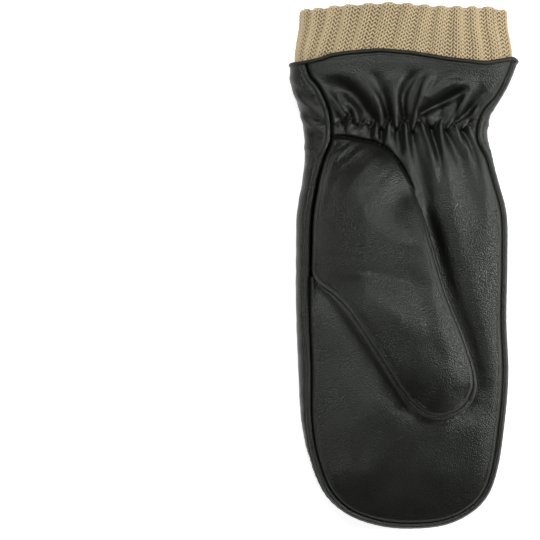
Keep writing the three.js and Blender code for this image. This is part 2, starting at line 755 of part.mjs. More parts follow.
// The binding rolls over the leather's edge all round the wrist.
function makeEdgeBinding() {
  const loop = [];
  const palm = handPanelSides("palm", 1);
  const back = handPanelSides("back", -1);
  const TOP_STEPS = 24;
  for (let i = 0; i <= TOP_STEPS; i++) {
    const p = palm.top(i / TOP_STEPS);
    loop.push(palmSkin(p.x, p.y));
  }
  const end = (share, distance, side) => {
    const rim = rimAt(share);
    const place = rim.point.clone().addScaledVector(rim.inward, distance);
    return skin(place.x, place.y, distance, rim.inward.clone().negate(), side);
  };
  loop.push(end(1, 1.0, 1), end(1, 0, 1), end(1, 1.0, -1));
  for (let i = 0; i <= TOP_STEPS; i++) {
    const p = back.top(1 - i / TOP_STEPS);
    loop.push(backSkin(p.x, p.y));
  }
  loop.push(end(0, 1.0, -1), end(0, 0, 1), end(0, 1.0, 1), end(0, 4, 1));
  const middles = loop.map((at) => at.outer.clone().addScaledVector(at.normal, -LEATHER / 2));
  const curve = new THREE.CatmullRomCurve3(middles, true, "centripetal");
  const normalCurve = new THREE.CatmullRomCurve3(loop.map((at) => at.normal), true);
  const halfLength = BINDING_LENGTH / 2;
  const halfHeight = BINDING_HEIGHT / 2;
  const rounds = [];
  for (let k = 0; k < BINDING_STEPS; k++) {
    const share = k / BINDING_STEPS;
    const t = curve.getUtoTmapping(share);
    const centre = curve.getPoint(t);
    const tangent = curve.getTangent(t);
    const up = normalCurve.getPoint(t);
    up.addScaledVector(tangent, -up.dot(tangent)).normalize();
    const out = new THREE.Vector3().crossVectors(up, tangent);
    if (out.y < 0) out.negate();
    centre.addScaledVector(out, halfLength + SEAM_GAP);
    centre.z = Math.max(centre.z, halfHeight);
    const SIDES = 6;
    rounds.push(
      Array.from({ length: SIDES }, (_, i) => {
        const angle = ((i + 0.5) / SIDES) * 2 * Math.PI;
        return centre
          .clone()
          .addScaledVector(out, halfLength * Math.cos(angle))
          .addScaledVector(up, halfHeight * Math.sin(angle));
      }),
    );
  }
  return loft(rounds, true, false);
}

const mitten = new THREE.Group();

function addPiece(name, geometry, finish) {
  const piece = new THREE.Mesh(geometry, new THREE.MeshStandardMaterial(finish));
  piece.name = name;
  mitten.add(piece);
}

addPiece("back_panel", makeBackPanel(), BLACK_LEATHER);
addPiece("side_gusset", makeSideGusset(), BLACK_LEATHER);
addPiece("palm_panel", makePalmPanel(), BLACK_LEATHER);
addPiece("thumb_front", makeThumbFront(), BLACK_LEATHER);
addPiece("thumb_back", makeThumbBack(), BLACK_LEATHER);
addPiece("edge_binding", makeEdgeBinding(), BLACK_LEATHER);
addPiece("rib_cuff", makeRibCuff(), BEIGE_KNIT);

export default mitten;
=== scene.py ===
"""A black leather mitten with a beige rib-knit cuff, lying palm up on a pale studio floor.

Lengths in the tables are millimetres: +X to the little-finger side, +Y to the cuff's mouth, +Z up.
"""

import math

import bpy
import numpy as np
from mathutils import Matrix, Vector


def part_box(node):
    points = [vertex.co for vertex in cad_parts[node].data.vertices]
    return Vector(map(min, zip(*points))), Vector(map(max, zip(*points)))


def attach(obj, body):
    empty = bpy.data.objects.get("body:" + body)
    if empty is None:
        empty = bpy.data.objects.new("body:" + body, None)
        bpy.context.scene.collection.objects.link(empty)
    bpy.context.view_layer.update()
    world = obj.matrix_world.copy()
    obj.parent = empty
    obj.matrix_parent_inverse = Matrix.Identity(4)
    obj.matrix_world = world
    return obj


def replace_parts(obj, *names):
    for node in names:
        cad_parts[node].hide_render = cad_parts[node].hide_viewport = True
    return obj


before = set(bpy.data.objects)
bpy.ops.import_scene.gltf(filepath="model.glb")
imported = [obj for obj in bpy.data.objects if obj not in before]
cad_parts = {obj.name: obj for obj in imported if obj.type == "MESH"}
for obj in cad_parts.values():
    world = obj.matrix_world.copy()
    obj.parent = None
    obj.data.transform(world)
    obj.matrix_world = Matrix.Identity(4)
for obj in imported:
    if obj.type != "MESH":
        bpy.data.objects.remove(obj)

bl_info = {
    "name": "Leather mitten",
    "version": (1, 0, 0),
    "blender": (4, 5, 0),
    "location": "View3D > Sidebar > Mitten",
    "description": "Builds a leather mitten with a rib-knit cuff, its stitches and its studio",
    "category": "Object",
}

MM = 0.001

# The photograph's scale, from the mitten's real length, and the pixel over the frame's origin
MM_PER_PIXEL = 0.5123
ORIGIN_PIXEL = (403.5, 266.0)


def table(columns, *rows):
    """The named columns of a short table."""
    return dict(zip(columns.split(), np.array(rows, float).T))


def from_photo(rows):
    """A table whose px and py columns are pixels of the photograph, with those as x and y in millimetres."""
    turned = {}
    for name, column in rows.items():
        if name.startswith("px"):
            turned[name[1:]] = (column - ORIGIN_PIXEL[0]) * MM_PER_PIXEL
        elif name.startswith("py"):
            turned[name[1:]] = (ORIGIN_PIXEL[1] - column) * MM_PER_PIXEL
        else:
            turned[name] = column
    return turned


def box_mm(node):
    """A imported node's lowest and highest corners in millimetres."""
    return np.array(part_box(node)) / MM


# The outline from the wrist's thumb side round the tip to its little-finger side,
# with how far inside it the palm seam and the back seam run
RIM = table(
    "x y palm back",
    (-58.4, 101.9, 7.7, 2.0),
    (-57.6, 93.2, 10.2, 2.0),
    (-54.6, 84.0, 12.8, 2.6),
    (-52.0, 74.8, 13.8, 3.1),
    (-50.7, 64.5, 13.0, 3.1),
    (-50.7, 54.3, 8.8, 3.1),
    (-52.0, 43.0, 7.2, 2.6),
    (-54.6, 27.7, 7.2, 2.0),
    (-55.1, 5.6, 6.7, 2.0),
    (-55.1, -20.0, 6.1, 2.0),
    (-54.0, -50.7, 6.1, 2.0),
    (-52.0, -81.5, 4.6, 2.0),
    (-47.4, -100.9, 3.6, 2.6),
    (-40.2, -117.3, 3.2, 2.6),
    (-28.9, -127.8, 2.7, 2.6),
    (-12.0, -133.5, 2.2, 2.6),
    (5.9, -134.7, 2.0, 2.6),
    (23.8, -132.2, 2.0, 2.6),
    (37.1, -125.0, 2.1, 2.6),
    (44.3, -116.3, 2.3, 2.6),
    (48.9, -102.5, 2.5, 2.0),
    (52.0, -83.0, 2.8, 2.0),
    (54.0, -55.8, 2.6, 2.0),
    (53.0, -27.7, 2.6, 2.0),
    (53.5, 3.1, 2.6, 2.0),
    (53.0, 27.2, 2.6, 2.0),
    (49.4, 41.5, 2.6, 2.0),
    (45.9, 55.3, 3.1, 2.0),
    (43.3, 67.1, 5.6, 2.6),
    (44.3, 76.3, 4.1, 2.6),
    (49.4, 84.5, 2.6, 2.6),
    (54.0, 92.7, 2.6, 2.0),
    (58.4, 103.5, 2.6, 2.0),
)
TIP_START, TIP_END = 0.405, 0.575  # shares of the outline's length, the tip's arc

# The palm's crown and the widest level of the section along the hand
HEIGHTS = table(
    "y crown level",
    (-134.7, 19.5, 9.5),
    (-105, 23.5, 10.5),
    (-69, 25.8, 11.5),
    (20, 26.4, 12),
    (52, 26, 12),
    (71, 24.6, 12),
    (94, 28.2, 13),
    (103, 28.9, 13),
    (134.7, 28.9, 13),
)

# The leather's wrist edge on the palm side; on the back it is a plain arch
WRIST_EDGE = table(
    "x y",
    (-58.1, 102.5),
    (-45.9, 104.6),
    (-30.0, 107.0),
    (-13.1, 108.4),
    (3.3, 107.0),
    (21.3, 104.0),
    (39.2, 102.2),
    (58.4, 102.5),
)
BACK_EDGE_SIDE, BACK_EDGE_ARCH, BACK_EDGE_HALF = 102.6, 9.0, 58.0

# A fold is a ridge or, below zero, a valley along a curve through three places. It goes evenly from
# its first width to its last, and is as high at the three places as its heights say, in millimetres.
# These are listed from the photograph, first the folds that run down into the gathered seam
FOLDS_ABOVE = from_photo(
    table(
        "px1 py1 px2 py2 px3 py3 width1 width3 height1 height2 height3",
        (320, 90, 332, 102, 344, 117, 2.6, 1.5, 0.3, 1.8, 2.1),
        (318, 98, 327, 110, 334, 124, 2.2, 1.5, 0, 0.9, 1.2),
        (344, 101, 352, 110, 357, 123, 2.4, 1.6, 0, 1.3, 1.6),
        (324, 83, 349, 93, 373, 123, 5.4, 2.2, -0.5, -3.3, -1.6),
        (352, 78, 373, 98, 381, 128, 6.0, 1.6, 0, 2.0, 1.8),
        (371, 68, 380, 94, 388, 120, 4.0, 1.2, 0, -2.1, -1.3),
        (398, 66, 393, 99, 395, 129, 6.0, 1.6, 0, 2.0, 2.0),
        (418, 66, 402, 95, 403, 120, 3.4, 1.1, -0.5, -2.6, -1.4),
        (433, 64, 420, 97, 411, 131, 3.0, 1.6, 0.4, 2.3, 2.0),
        (463, 92, 442, 103, 420, 114, 2.9, 1.9, -0.8, -2.9, -2.0),
        (474, 93, 455, 86, 429, 99, 3.5, 2.6, 0, 1.5, 1.0),
        (470, 84, 463, 102, 446, 130, 3.0, 1.5, 0.3, 2.2, 1.7),
        (425, 112, 428, 119, 431, 126, 2.0, 1.6, 0, 0.7, 1.2),
        (484, 88, 470, 109, 455, 122, 3.4, 1.2, 0, -2.0, -1.3),
        (510, 80, 483, 104, 462, 129, 4.0, 1.5, 0.3, 1.6, 1.4),
        (505, 93, 484, 109, 469, 124, 2.4, 1.1, 0, -1.4, -1.0),
        (508, 96, 490, 110, 475, 127, 2.2, 1.3, 0.3, 1.4, 1.3),
        (340, 64, 348, 68, 356, 72, 7.0, 6.0, 0.7, 0.6, 0.5),
    )
)
# The folds that run from the gathered seam down the palm
FOLDS_BELOW = from_photo(
    table(
        "px1 py1 px2 py2 px3 py3 width1 width3 height1 height2 height3",
        (339, 122, 335, 128, 332, 134, 1.3, 1.8, 1.1, 0.8, 0.5),
        (350, 120, 347, 127, 344, 134, 1.3, 2.0, 1.2, 0.9, 0.6),
        (363, 123, 357, 129, 351, 135, 1.3, 2.2, 1.3, 1.0, 0.7),
        (375, 124, 375, 131, 375, 138, 1.3, 2.0, 1.4, 1.2, 1.0),
        (388, 122, 387, 137, 384, 150, 1.3, 2.4, 1.6, 1.4, 0.6),
        (404, 123, 406, 146, 407, 172, 1.3, 3.0, 1.7, 1.8, 0),
        (420, 123, 431, 158, 436, 205, 1.3, 3.8, 1.7, 1.9, 0.2),
        (439, 122, 446, 176, 457, 252, 1.3, 5.5, 1.4, 1.6, 0.1),
        (454, 125, 461, 142, 470, 160, 1.3, 3.0, 1.4, 1.2, 0),
        (468, 127, 483, 168, 486, 236, 1.3, 4.0, 1.4, 1.6, 0.1),
        (479, 129, 486, 146, 495, 162, 1.1, 1.3, 0.8, 1.2, 0.7),
        (396, 131, 398, 148, 399, 160, 1.2, 2.4, -1.0, -1.1, 0),
        (411, 135, 424, 197, 452, 310, 1.8, 6.0, -1.2, -2.6, 0),
        (430, 130, 436, 153, 441, 185, 1.4, 2.6, -1.4, -1.4, 0),
        (445, 133, 461, 166, 477, 230, 1.4, 5.0, -1.4, -1.5, 0),
        (462, 132, 473, 152, 480, 190, 1.3, 2.6, -1.1, -1.3, 0),
        (475, 131, 483, 146, 490, 162, 1.1, 1.6, -0.8, -1.1, -0.4),
        (381, 132, 381, 139, 380, 146, 1.2, 1.8, -1.0, -0.8, -0.6),
    )
)
# The palm's slow swells towards the fingertips
PALM_SWELLS = from_photo(
    table(
        "px1 py1 px2 py2 px3 py3 width1 width3 height1 height2 height3",
        (345, 360, 372, 412, 400, 452, 12, 14, 0, 0.8, 0),
        (492, 300, 487, 385, 470, 480, 6, 9, 0, 0.75, 0),
        (440, 430, 452, 470, 430, 505, 12, 10, 0, -0.6, 0),
    )
)
# The gathered seam zigzags from the foot of each fold above it to the head of the next one below
PUCKERS = table(
    "px_foot py_foot px_head py_head",
    (334, 126, 338, 122),
    (344, 126, 349, 119),
    (356, 127, 363, 122),
    (369, 128, 375, 122),
    (380, 131, 388, 121),
    (395, 132, 404, 121),
    (411, 134, 420, 122),
    (431, 130, 439, 121),
    (445, 132, 454, 123),
    (461, 132, 468, 125),
    (475, 131, 478, 126),
    (483, 129, 486, 127),
)
GATHERS = from_photo(
    {
        "px": np.stack([PUCKERS["px_foot"], PUCKERS["px_head"]], axis=1).ravel(),
        "py": np.stack([PUCKERS["py_foot"], PUCKERS["py_head"]], axis=1).ravel(),
    }
)

# The thumb lies folded over the palm: its base seam, its two free edges and its tip.
# z is the height of the free edges, where the front panel meets the back one
THUMB_BASE = table(
    "x y",
    (-38.7, 65.2),
    (-31.1, 65.8),
    (-22.8, 64.4),
    (-14.6, 62.4),
    (-6.9, 57.6),
    (0.6, 47.0),
    (4.3, 38.4),
)
THUMB_LEFT = table(
    "x y z",
    (-45.3, -7.7, 24.2),
    (-37.7, -15.4, 28.0),
    (-30.5, -24.1, 30.2),
    (-16.6, -44.6, 31.4),
    (-4.9, -62.9, 31.0),
    (0.4, -70.0, 30.6),
)
THUMB_TIP = table(
    "x y z",
    (0.4, -70.0, 30.6),
    (8.4, -76.2, 29.8),
    (16.3, -78.4, 29.2),
    (23.8, -77.0, 28.8),
    (29.9, -73.7, 28.6),
    (34.0, -69.2, 28.6),
)
THUMB_RIGHT = table(
    "x y z",
    (8.4, 27.7, 30.6),
    (13.6, 11.0, 31.8),
    (20.7, -12.7, 31.8),
    (30.4, -37.4, 30.6),
    (35.7, -54.8, 29.2),
    (36.3, -62.0, 28.8),
    (34.0, -69.2, 28.6),
)
THUMB_CORNER_Z = 28.6
THUMB_SWELL_BASE, THUMB_SWELL_TIP = 15.0, 9.0
SEWN_EDGE_REACH, SEWN_EDGE_POWER = 28.0, 1.3
FREE_EDGE_REACH = 21.0
THUMB_ROOT_TOP, THUMB_ROOT_BOTTOM = 65.2, -2.0  # stretch of the palm seam that carries the thumb
CROTCH = table("x y", (4.9, 36.5), (-8, 17), (-27, 0), (-44, -5), (-52, -5.5))
THUMB_BACK_TOP = table("x y", (-43.6, -9.8), (-27, -4), (-6, 11), (8.6, 26.8))

THUMB_FOLDS = table(
    "x1 y1 x2 y2 x3 y3 width1 width3 height1 height2 height3",
    (4, 8, 16, -29, 27.5, -62, 5, 4, 0, 1.0, 0),
    (-30, 2, -8, -23, 12, -48, 6, 5, 0, 0.9, 0),
    (-16, 34, 3, -5, 18, -44, 7, 5, 0, -1.1, 0),
    (-23.5, 64, -29, 60, -35, 54.5, 0.9, 0.9, 0.5, 0.7, 0.3),
    (-26.5, 64.5, -31.2, 60.6, -36, 56.8, 0.8, 0.8, -0.3, -0.4, -0.5),
    (-19.5, 61.5, -26, 56, -32.5, 50.5, 1.2, 1.4, 0.3, 0.4, 0.4),
    (-31, 62, -39, 47, -43, 30, 1.6, 2.4, 0.2, 0.6, 0),
    (-27, 57, -37.5, 38, -40, 22, 1.8, 3.0, -0.2, -0.5, 0),
    (-12, 57, -28, 41, -36, 22, 1.8, 3.0, 0.2, 0.4, 0),
    (-6, 50, -22, 33, -30, 14, 2.0, 3.4, -0.2, -0.4, 0),
)
GUSSET_FOLDS = table(
    "x1 y1 x2 y2 x3 y3 width1 width3 height1 height2 height3",
    (-57.5, 90, -49, 82, -40.4, 75.5, 1.8, 1.3, 0.3, 1.0, 0.9),
    (-53.5, 81.5, -49.2, 78.2, -45, 75, 1.1, 1.1, 0.4, 0.7, 0.9),
    (-57, 84.5, -50.8, 79, -44.5, 73.5, 1.3, 1.1, -0.5, -0.7, -0.9),
    (-52.5, 76.5, -47, 72.2, -41.5, 68, 1.5, 1.2, 0.5, 0.7, 0.8),
    (-51.5, 71, -47.2, 68.5, -43, 66, 1.2, 1.0, -0.4, -0.6, -0.8),
    (-58, 96, -52.5, 92, -47, 88, 2.0, 1.8, 0.4, 0.5, 0.6),
    (-51.5, 61.5, -47.5, 59.2, -43.5, 57, 1.3, 1.1, 0.4, 0.5, 0.6),
    (-52, 53, -49, 51, -46, 49, 1.2, 1.0, -0.3, -0.4, -0.5),
    (43, 72, 46.5, 76, 50, 80, 1.2, 1.4, 0.6, 0.5, 0.4),
)

# The knit cuff's half width, and its heights on top and below, along the arm
CUFF = table(
    "y half top bottom",
    (97, 52.0, 24.0, 1.8),
    (104.5, 55.6, 26.2, 2.0),
    (108.6, 55.7, 26.3, 2.5),
    (114.7, 54.8, 26.3, 2.5),
    (122, 53.5, 25.8, 0),
    (134.7, 53, 25.2, 0),
)
# How far sideways the ribs of the upper side run off their even places, at the mouth and at the wrist
RIB_LEAN = table(
    "x mouth wrist",
    (-53, 0, 0),
    (-49.5, -2.0, -2.5),
    (-41.2, -4.6, -6.7),
    (-32.4, -5.0, -9.3),
    (-23.5, -6.0, -9.0),
    (-14.5, -4.5, -9.4),
    (-5.6, -2.9, -7.4),
    (3.4, -1.4, -6.6),
    (12.3, -1.3, -5.7),
    (21.2, -1.8, -5.7),
    (30.1, -2.2, -3.7),
    (39, -3.0, -2.8),
    (47.5, -3.5, -2.5),
    (53, 0, 0),
)
CUFF_MOUTH_Y = box_mm("rib_cuff")[1, 1]
# How far the mouth's edge lies back from its foremost place
MOUTH = table(
    "x drop",
    (-53, 3.0),
    (-43, 2.5),
    (-35, 1.5),
    (-21, 0.7),
    (-7, 0.0),
    (2, 0.6),
    (11, 1.4),
    (19, 1.9),
    (34, 2.1),
    (47, 2.1),
    (53, 3.0),
)
MOUTH_SCALLOP = 0.8  # and how much further between two ribs
RIBS = 26
WALES_PER_RIB = 4

# Sections are superellipses: how far in from the outline they go on rising, and how square they are
SECTION_POWER = 2.6
PALM_REACH = 58.5
BACK_REACH, BACK_POWER = 12.0, 2.2

# How finely the palm and the back are divided, and how much closer their rows lie at the gathers
PALM_GRID = {"across": 166, "along": 250, "crowding": 3.0}
BACK_GRID = {"across": 96, "along": 190, "crowding": 0.6}

# In the values below a pair in brackets holds where something begins to grow or to fade, and where
# that is complete
SEAM_GAP = 0.4  # between two sewn edges
PALM_SEAM_REACH, PALM_SEAM_DEPTH = 2.3, 1.3  # how far from its seam the palm bends down, and how deep
PALM_ROLL_HEIGHT, PALM_ROLL_INSET, PALM_ROLL_WIDTH = 0.35, 2.2, 0.8  # the small roll beside that bend
PALM_ROLL_ALONG = (100, 92)

FOLD_STRENGTH = 1.25  # the palm's folds against the heights in their tables
FOLDS_INSET = (SEAM_GAP, 6.0)  # from the palm's seam
FOLDS_DIE_OUT = (94, 101)  # towards the wrist edge
PALM_RIPPLE, PALM_RIPPLE_SIZE = 0.16, 16

# The gathered seam: where it begins and ends across the palm, the lobes on both sides of its zigzag,
# the groove that its thread pulls in, and the broad waist round it
GATHERS_BEGIN, GATHERS_END = (-39.5, -35.5), (41.5, 44.5)
LOBE_HEIGHT, LOBE_STEP, LOBE_REACH = 0.95, 0.55, 5.5
GROOVE_DEPTH, GROOVE_WIDTH = 0.9, 0.7
WAIST_DEPTH, WAIST_WIDTH = 0.9, 6.0

# The hollows that the folded thumb presses into the palm beside its two free edges
HOLLOW_DEPTH = {"right": 3.5, "left": 1.7}
HOLLOW_WIDTH = {"right": 8, "left": 6}
HOLLOW_ALONG = (36, 15)

# The palm's opening into the thumb: how much wider than its seam it is cut, how near the palm's cut
# edge is drawn onto it, and how the palm bends down to the thumb's seam
OPENING_EASE = 0.15
OPENING_BEYOND = -62.4  # an x outside the hand, where the opening's outline is closed
OPENING_SNAP = 1.3
THUMB_SEAM_REACH, THUMB_SEAM_DEPTH = 1.4, 0.8
THUMB_SEAM_ALONG = (34, 42)

# The back's soft waves near the wrist
SWAY_HEIGHT, SWAY_SIZE, SWAY_STRETCH = 0.35, 9, 0.35
SWAY_ALONG, SWAY_INSET = (20, 75), (3, 16)

# The gusset, by the distance from its palm seam: its turned edge, the welt, the crease beside the
# welt, the puckers that the seam pulls, and where its folds and its unevenness begin
GUSSET_STEPS = {"side": 170, "tip": 90, "top": 37, "bottom": 13}
GUSSET_SEAM_REACH, GUSSET_SEAM_DEPTH = 0.8, 0.5
WELT_HEIGHT, WELT_START, WELT_END = 0.55, (0.1, 0.8), (1.7, 2.3)
CREASE_DEPTH, CREASE_PLACE, CREASE_WIDTH = 0.45, 2.5, 0.35
PUCKER_HEIGHT, PUCKER_PLACE, PUCKER_WIDTH = 0.22, 3.6, 1.6
PUCKER_LENGTH, PUCKER_DRIFT, PUCKER_DRIFT_LENGTH = 4.3, 1.3, 17
GUSSET_FOLDS_START = (2.0, 3.2)
GUSSET_RIPPLE, GUSSET_RIPPLE_SIZE, GUSSET_RIPPLE_START = 0.12, 9, (2.5, 4)

# The thumb's panels: their grids, how far in from the free edge lies the seam that joins them, how
# the front panel bends down to it with a small roll beside the bend, and its unevenness
THUMB_FRONT_STEPS = {"across": 96, "along": 180}
THUMB_BACK_STEPS = {"across": 60, "along": 80}
THUMB_CROWDING = 1.25
THUMB_ROOT_INSET = 0.9
FREE_EDGE_STEPS = {"left": 140, "tip": 60, "right": 200}
FREE_EDGE_SOFTENING = 7
PATH_STRIDE = 12  # every so many points of a curve's fine path are enough to measure from
SEAM_INSET_LEFT, SEAM_INSET_RIGHT, SEAM_INSET_TIP = 2.6, 1.7, 2.6
INSET_LEFT_ALONG, INSET_RIGHT_ALONG, INSET_TIP_ALONG = (-4, -22), (34, 16), (-50, -68)
FREE_SEAM_REACH, FREE_SEAM_DEPTH = 1.3, 0.9
THUMB_ROLL_HEIGHT, THUMB_ROLL_INSET, THUMB_ROLL_WIDTH = 0.25, 1.7, 0.6
THUMB_RIPPLE, THUMB_RIPPLE_SIZE = 0.2, 17
THUMB_FOLDS_INSET = (0.5, 7)

# The thumb's back panel: how far it lies under the free edge and over the palm, how its hidden sheet
# bellies down, and the strip of it that rolls up round the free edge, made where it is wide enough
SHEET_DROP, SHEET_CLEARANCE = 0.6, 0.8
SHEET_BELLY, SHEET_BELLY_REACH = 6, 9
STRIP_WALL, STRIP_TUCK, STRIP_TUCK_SHARE = 0.9, 1.0, 0.12
STRIP_SEAM_REACH, STRIP_SEAM_DEPTH = 1.1, 1.0
STRIP_SEEN_WIDTH = 0.25

BINDING_RADIUS = 1.1
BINDING_OVERHANG = 0.95  # from the leather's edge to the middle of the binding's roll
BINDING_RINGS, BINDING_SIDES = 420, 14

# Places and sizes of the softboxes in metres, and their watts
SOFTBOXES = (
    ("far softbox", (0.0, 0.62, 1.15), (0.5, 0.4), 6.5),
    ("right softbox", (1.05, 0.08, 0.68), (0.28, 0.65), 9.5),
    ("left softbox", (-0.75, -0.05, 1.05), (0.25, 0.5), 3.8),
    ("near softbox", (0.35, -0.6, 1.1), (0.4, 0.3), 0.9),
)
WORLD_LIGHT = 0.03
FLOOR_GLOW = 0.7


def smoothstep(value, start, end):
    """0 at the start, 1 at the end and an even S between; the start may be the larger one."""
    share = np.clip((value - start) / (end - start), 0, 1)
    return share * share * (3 - 2 * share)


def bell(distance, width, power=2.0):
    """1 at no distance, about a third at the width, and soon nothing."""
    return np.exp(-((np.abs(distance) / width) ** power))


def columns_of(rows, names="x y"):
    return np.stack([rows[name] for name in names.split()], axis=1)


def smooth_through(points, t):
    """Points of a centripetal curve through some points, at t from 0 to 1 over their rows."""
    before = 2 * points[0] - points[1]
    after = 2 * points[-1] - points[-2]
    held = np.vstack([before, points, after])
    place = np.clip(t, 0, 1) * (len(points) - 1)
    row = np.minimum(place.astype(int), len(points) - 2)
    w = (place - row)[:, None]
    p0, p1, p2, p3 = (held[row + k] for k in range(4))
    knot = [np.sqrt(np.linalg.norm(b - a, axis=1))[:, None] for a, b in ((p0, p1), (p1, p2), (p2, p3))]
    d1 = np.where(knot[1] < 1e-4, 1, knot[1])
    d0 = np.where(knot[0] < 1e-4, d1, knot[0])
    d2 = np.where(knot[2] < 1e-4, d1, knot[2])
    leave = ((p1 - p0) / d0 - (p2 - p0) / (d0 + d1) + (p2 - p1) / d1) * d1
    arrive = ((p2 - p1) / d1 - (p3 - p1) / (d1 + d2) + (p3 - p2) / d2) * d1
    curve = p1 + leave * w + (3 * (p2 - p1) - 2 * leave - arrive) * w**2
    return curve + (2 * (p1 - p2) + leave + arrive) * w**3


class Curve:
    """A smooth curve through points, read by share of its length."""

    def __init__(self, points, parts=1200):
        self.points = np.asarray(points, float)
        self.t = np.linspace(0, 1, parts + 1)
        self.path = smooth_through(self.points, self.t)
        steps = np.linalg.norm(np.diff(self.path, axis=0), axis=1)
        self.length = steps.sum()
        self.share = np.concatenate([[0], np.cumsum(steps)]) / self.length

    def row_at(self, share):
        return np.interp(share, self.share, self.t)

    def at(self, share):
        return smooth_through(self.points, self.row_at(np.atleast_1d(share)))

    def tangent(self, share):
        share = np.atleast_1d(share)
        step = self.at(np.minimum(share + 1e-4, 1)) - self.at(np.maximum(share - 1e-4, 0))
        return step / np.linalg.norm(step, axis=1)[:, None]


def nearest_on(path, places):
    """Each place's distance to a flat path, the nearest point on it, and its row there."""
    start, step = path[:-1], np.diff(path, axis=0)
    square = np.maximum((step**2).sum(1), 1e-12)
    blocks = max(1, len(places) * len(step) // 3_000_000)
    found = []
    for block in np.array_split(places, blocks):
        away = block[:, None] - start
        along = np.clip((away * step).sum(2) / square, 0, 1)
        gap = ((away - along[..., None] * step) ** 2).sum(2)
        k = gap.argmin(1)
        share = np.take_along_axis(along, k[:, None], 1)
        found.append(np.hstack([start[k] + share * step[k], k[:, None] + share]))
    found = np.vstack(found)
    return np.linalg.norm(found[:, :2] - places, axis=1), found[:, :2], found[:, 2]


RIM_CURVE = Curve(columns_of(RIM))


def rim_at(share):
    """The outline at shares of its length: point, way inwards, and the palm and back insets."""
    share = np.atleast_1d(share)
    tangent = RIM_CURVE.tangent(share)
    insets = smooth_through(columns_of(RIM, "palm back"), RIM_CURVE.row_at(share))
    inward = np.stack([-tangent[:, 1], tangent[:, 0]], axis=1)
    return {"point": RIM_CURVE.at(share), "inward": inward, "palm": insets[:, 0], "back": insets[:, 1]}


RIM_PATH = rim_at(np.linspace(0, 1, 481))


def rim_distance(places):
    """How far inside the outline places are, the way out to it, and the palm seam's inset there."""
    distance, nearest, row = nearest_on(RIM_PATH["point"], places)
    outward = (nearest - places) / np.maximum(distance, 1e-9)[:, None]
    seam = np.interp(row, np.arange(len(RIM_PATH["palm"])), RIM_PATH["palm"])
    return distance, outward, seam


def skin(places, distance, outward, side):
    """Points of the hand's skin and the skin's outward direction; side is 1 palm, -1 back."""
    level = np.interp(places[:, 1], HEIGHTS["y"], HEIGHTS["level"])
    crown = np.interp(places[:, 1], HEIGHTS["y"], HEIGHTS["crown"])
    rise = crown - level if side > 0 else level
    reach, power = (PALM_REACH, SECTION_POWER) if side > 0 else (BACK_REACH, BACK_POWER)
    run = np.maximum(0, 1 - distance / reach)
    lift = np.maximum(0, 1 - run**power) ** (1 / power)
    out = outward * (run ** (power - 1) / reach)[:, None]
    up = side * lift ** (power - 1) / rise
    normal = np.column_stack([out, up])
    normal /= np.maximum(np.linalg.norm(normal, axis=1), 1e-9)[:, None]
    return np.column_stack([places, level + side * rise * lift]), normal


def fold_heights(places, folds):
    """Heights that a table's folds add at some places."""
    height = np.zeros(len(places))
    share = np.linspace(0, 1, 25)
    for number in range(len(folds["x1"])):
        fold = {name: column[number] for name, column in folds.items()}
        knots = np.array([(fold["x" + k], fold["y" + k]) for k in "123"])
        path = smooth_through(knots, share)
        reach = 3 * max(fold["width1"], fold["width3"])
        near = np.all((places > path.min(0) - reach) & (places < path.max(0) + reach), axis=1)
        if not near.any():
            continue
        distance, _, row = nearest_on(path, places[near])
        along = row / (len(share) - 1)
        width = np.interp(along, (0, 1), (fold["width1"], fold["width3"]))
        rise = np.interp(along, (0, 0.5, 1), (fold["height1"], fold["height2"], fold["height3"]))
        height[near] += rise * bell(distance, width)
    return height


def ripples(places, size, seed, count=9):
    """Gentle uneven waves about a size long, from -1 to 1."""
    random = np.random.default_rng(seed)
    total = np.zeros(len(places))
    for _ in range(count):
        angle, phase = random.uniform(0, 2 * math.pi, 2)
        way = np.array([math.cos(angle), math.sin(angle)]) * 2 * math.pi / (size * random.uniform(0.7, 1.5))
        total += np.sin(places @ way + phase)
    return total / count**0.5 / 1.6


def gather_heights(places):
    """The gathered seam: a zigzag where the folds above it meet the ones below it, point by point."""
    x, y = places.T
    rows = np.arange(len(GATHERS["x"]))
    turn = np.interp(x, GATHERS["x"], rows)
    off = y - np.interp(x, GATHERS["x"], GATHERS["y"])
    wave = np.cos(math.pi * turn)
    inside = smoothstep(x, *GATHERS_BEGIN) * (1 - smoothstep(x, *GATHERS_END))
    lobes = LOBE_HEIGHT * wave * np.tanh(off / LOBE_STEP) * np.exp(-np.abs(off) / LOBE_REACH)
    groove = GROOVE_DEPTH * bell(off, GROOVE_WIDTH)
    waist = WAIST_DEPTH * bell(off, WAIST_WIDTH)
    return (lobes - groove - waist) * inside


def turned_edge(distance, reach, depth):
    """How far leather bends down to a seam that lies a distance away."""
    return -depth * (1 - np.clip(distance / reach, 0, 1)) ** 2


def thumb_hollow(places):
    """How far the palm is pressed down beside the thumb's two free edges."""
    depth = np.zeros(len(places))
    for side, edge in (("right", THUMB_RIGHT), ("left", THUMB_LEFT)):
        distance, _, _ = nearest_on(columns_of(edge), places)
        depth += HOLLOW_DEPTH[side] * bell(distance, HOLLOW_WIDTH[side])
    return depth * smoothstep(places[:, 1], *HOLLOW_ALONG)


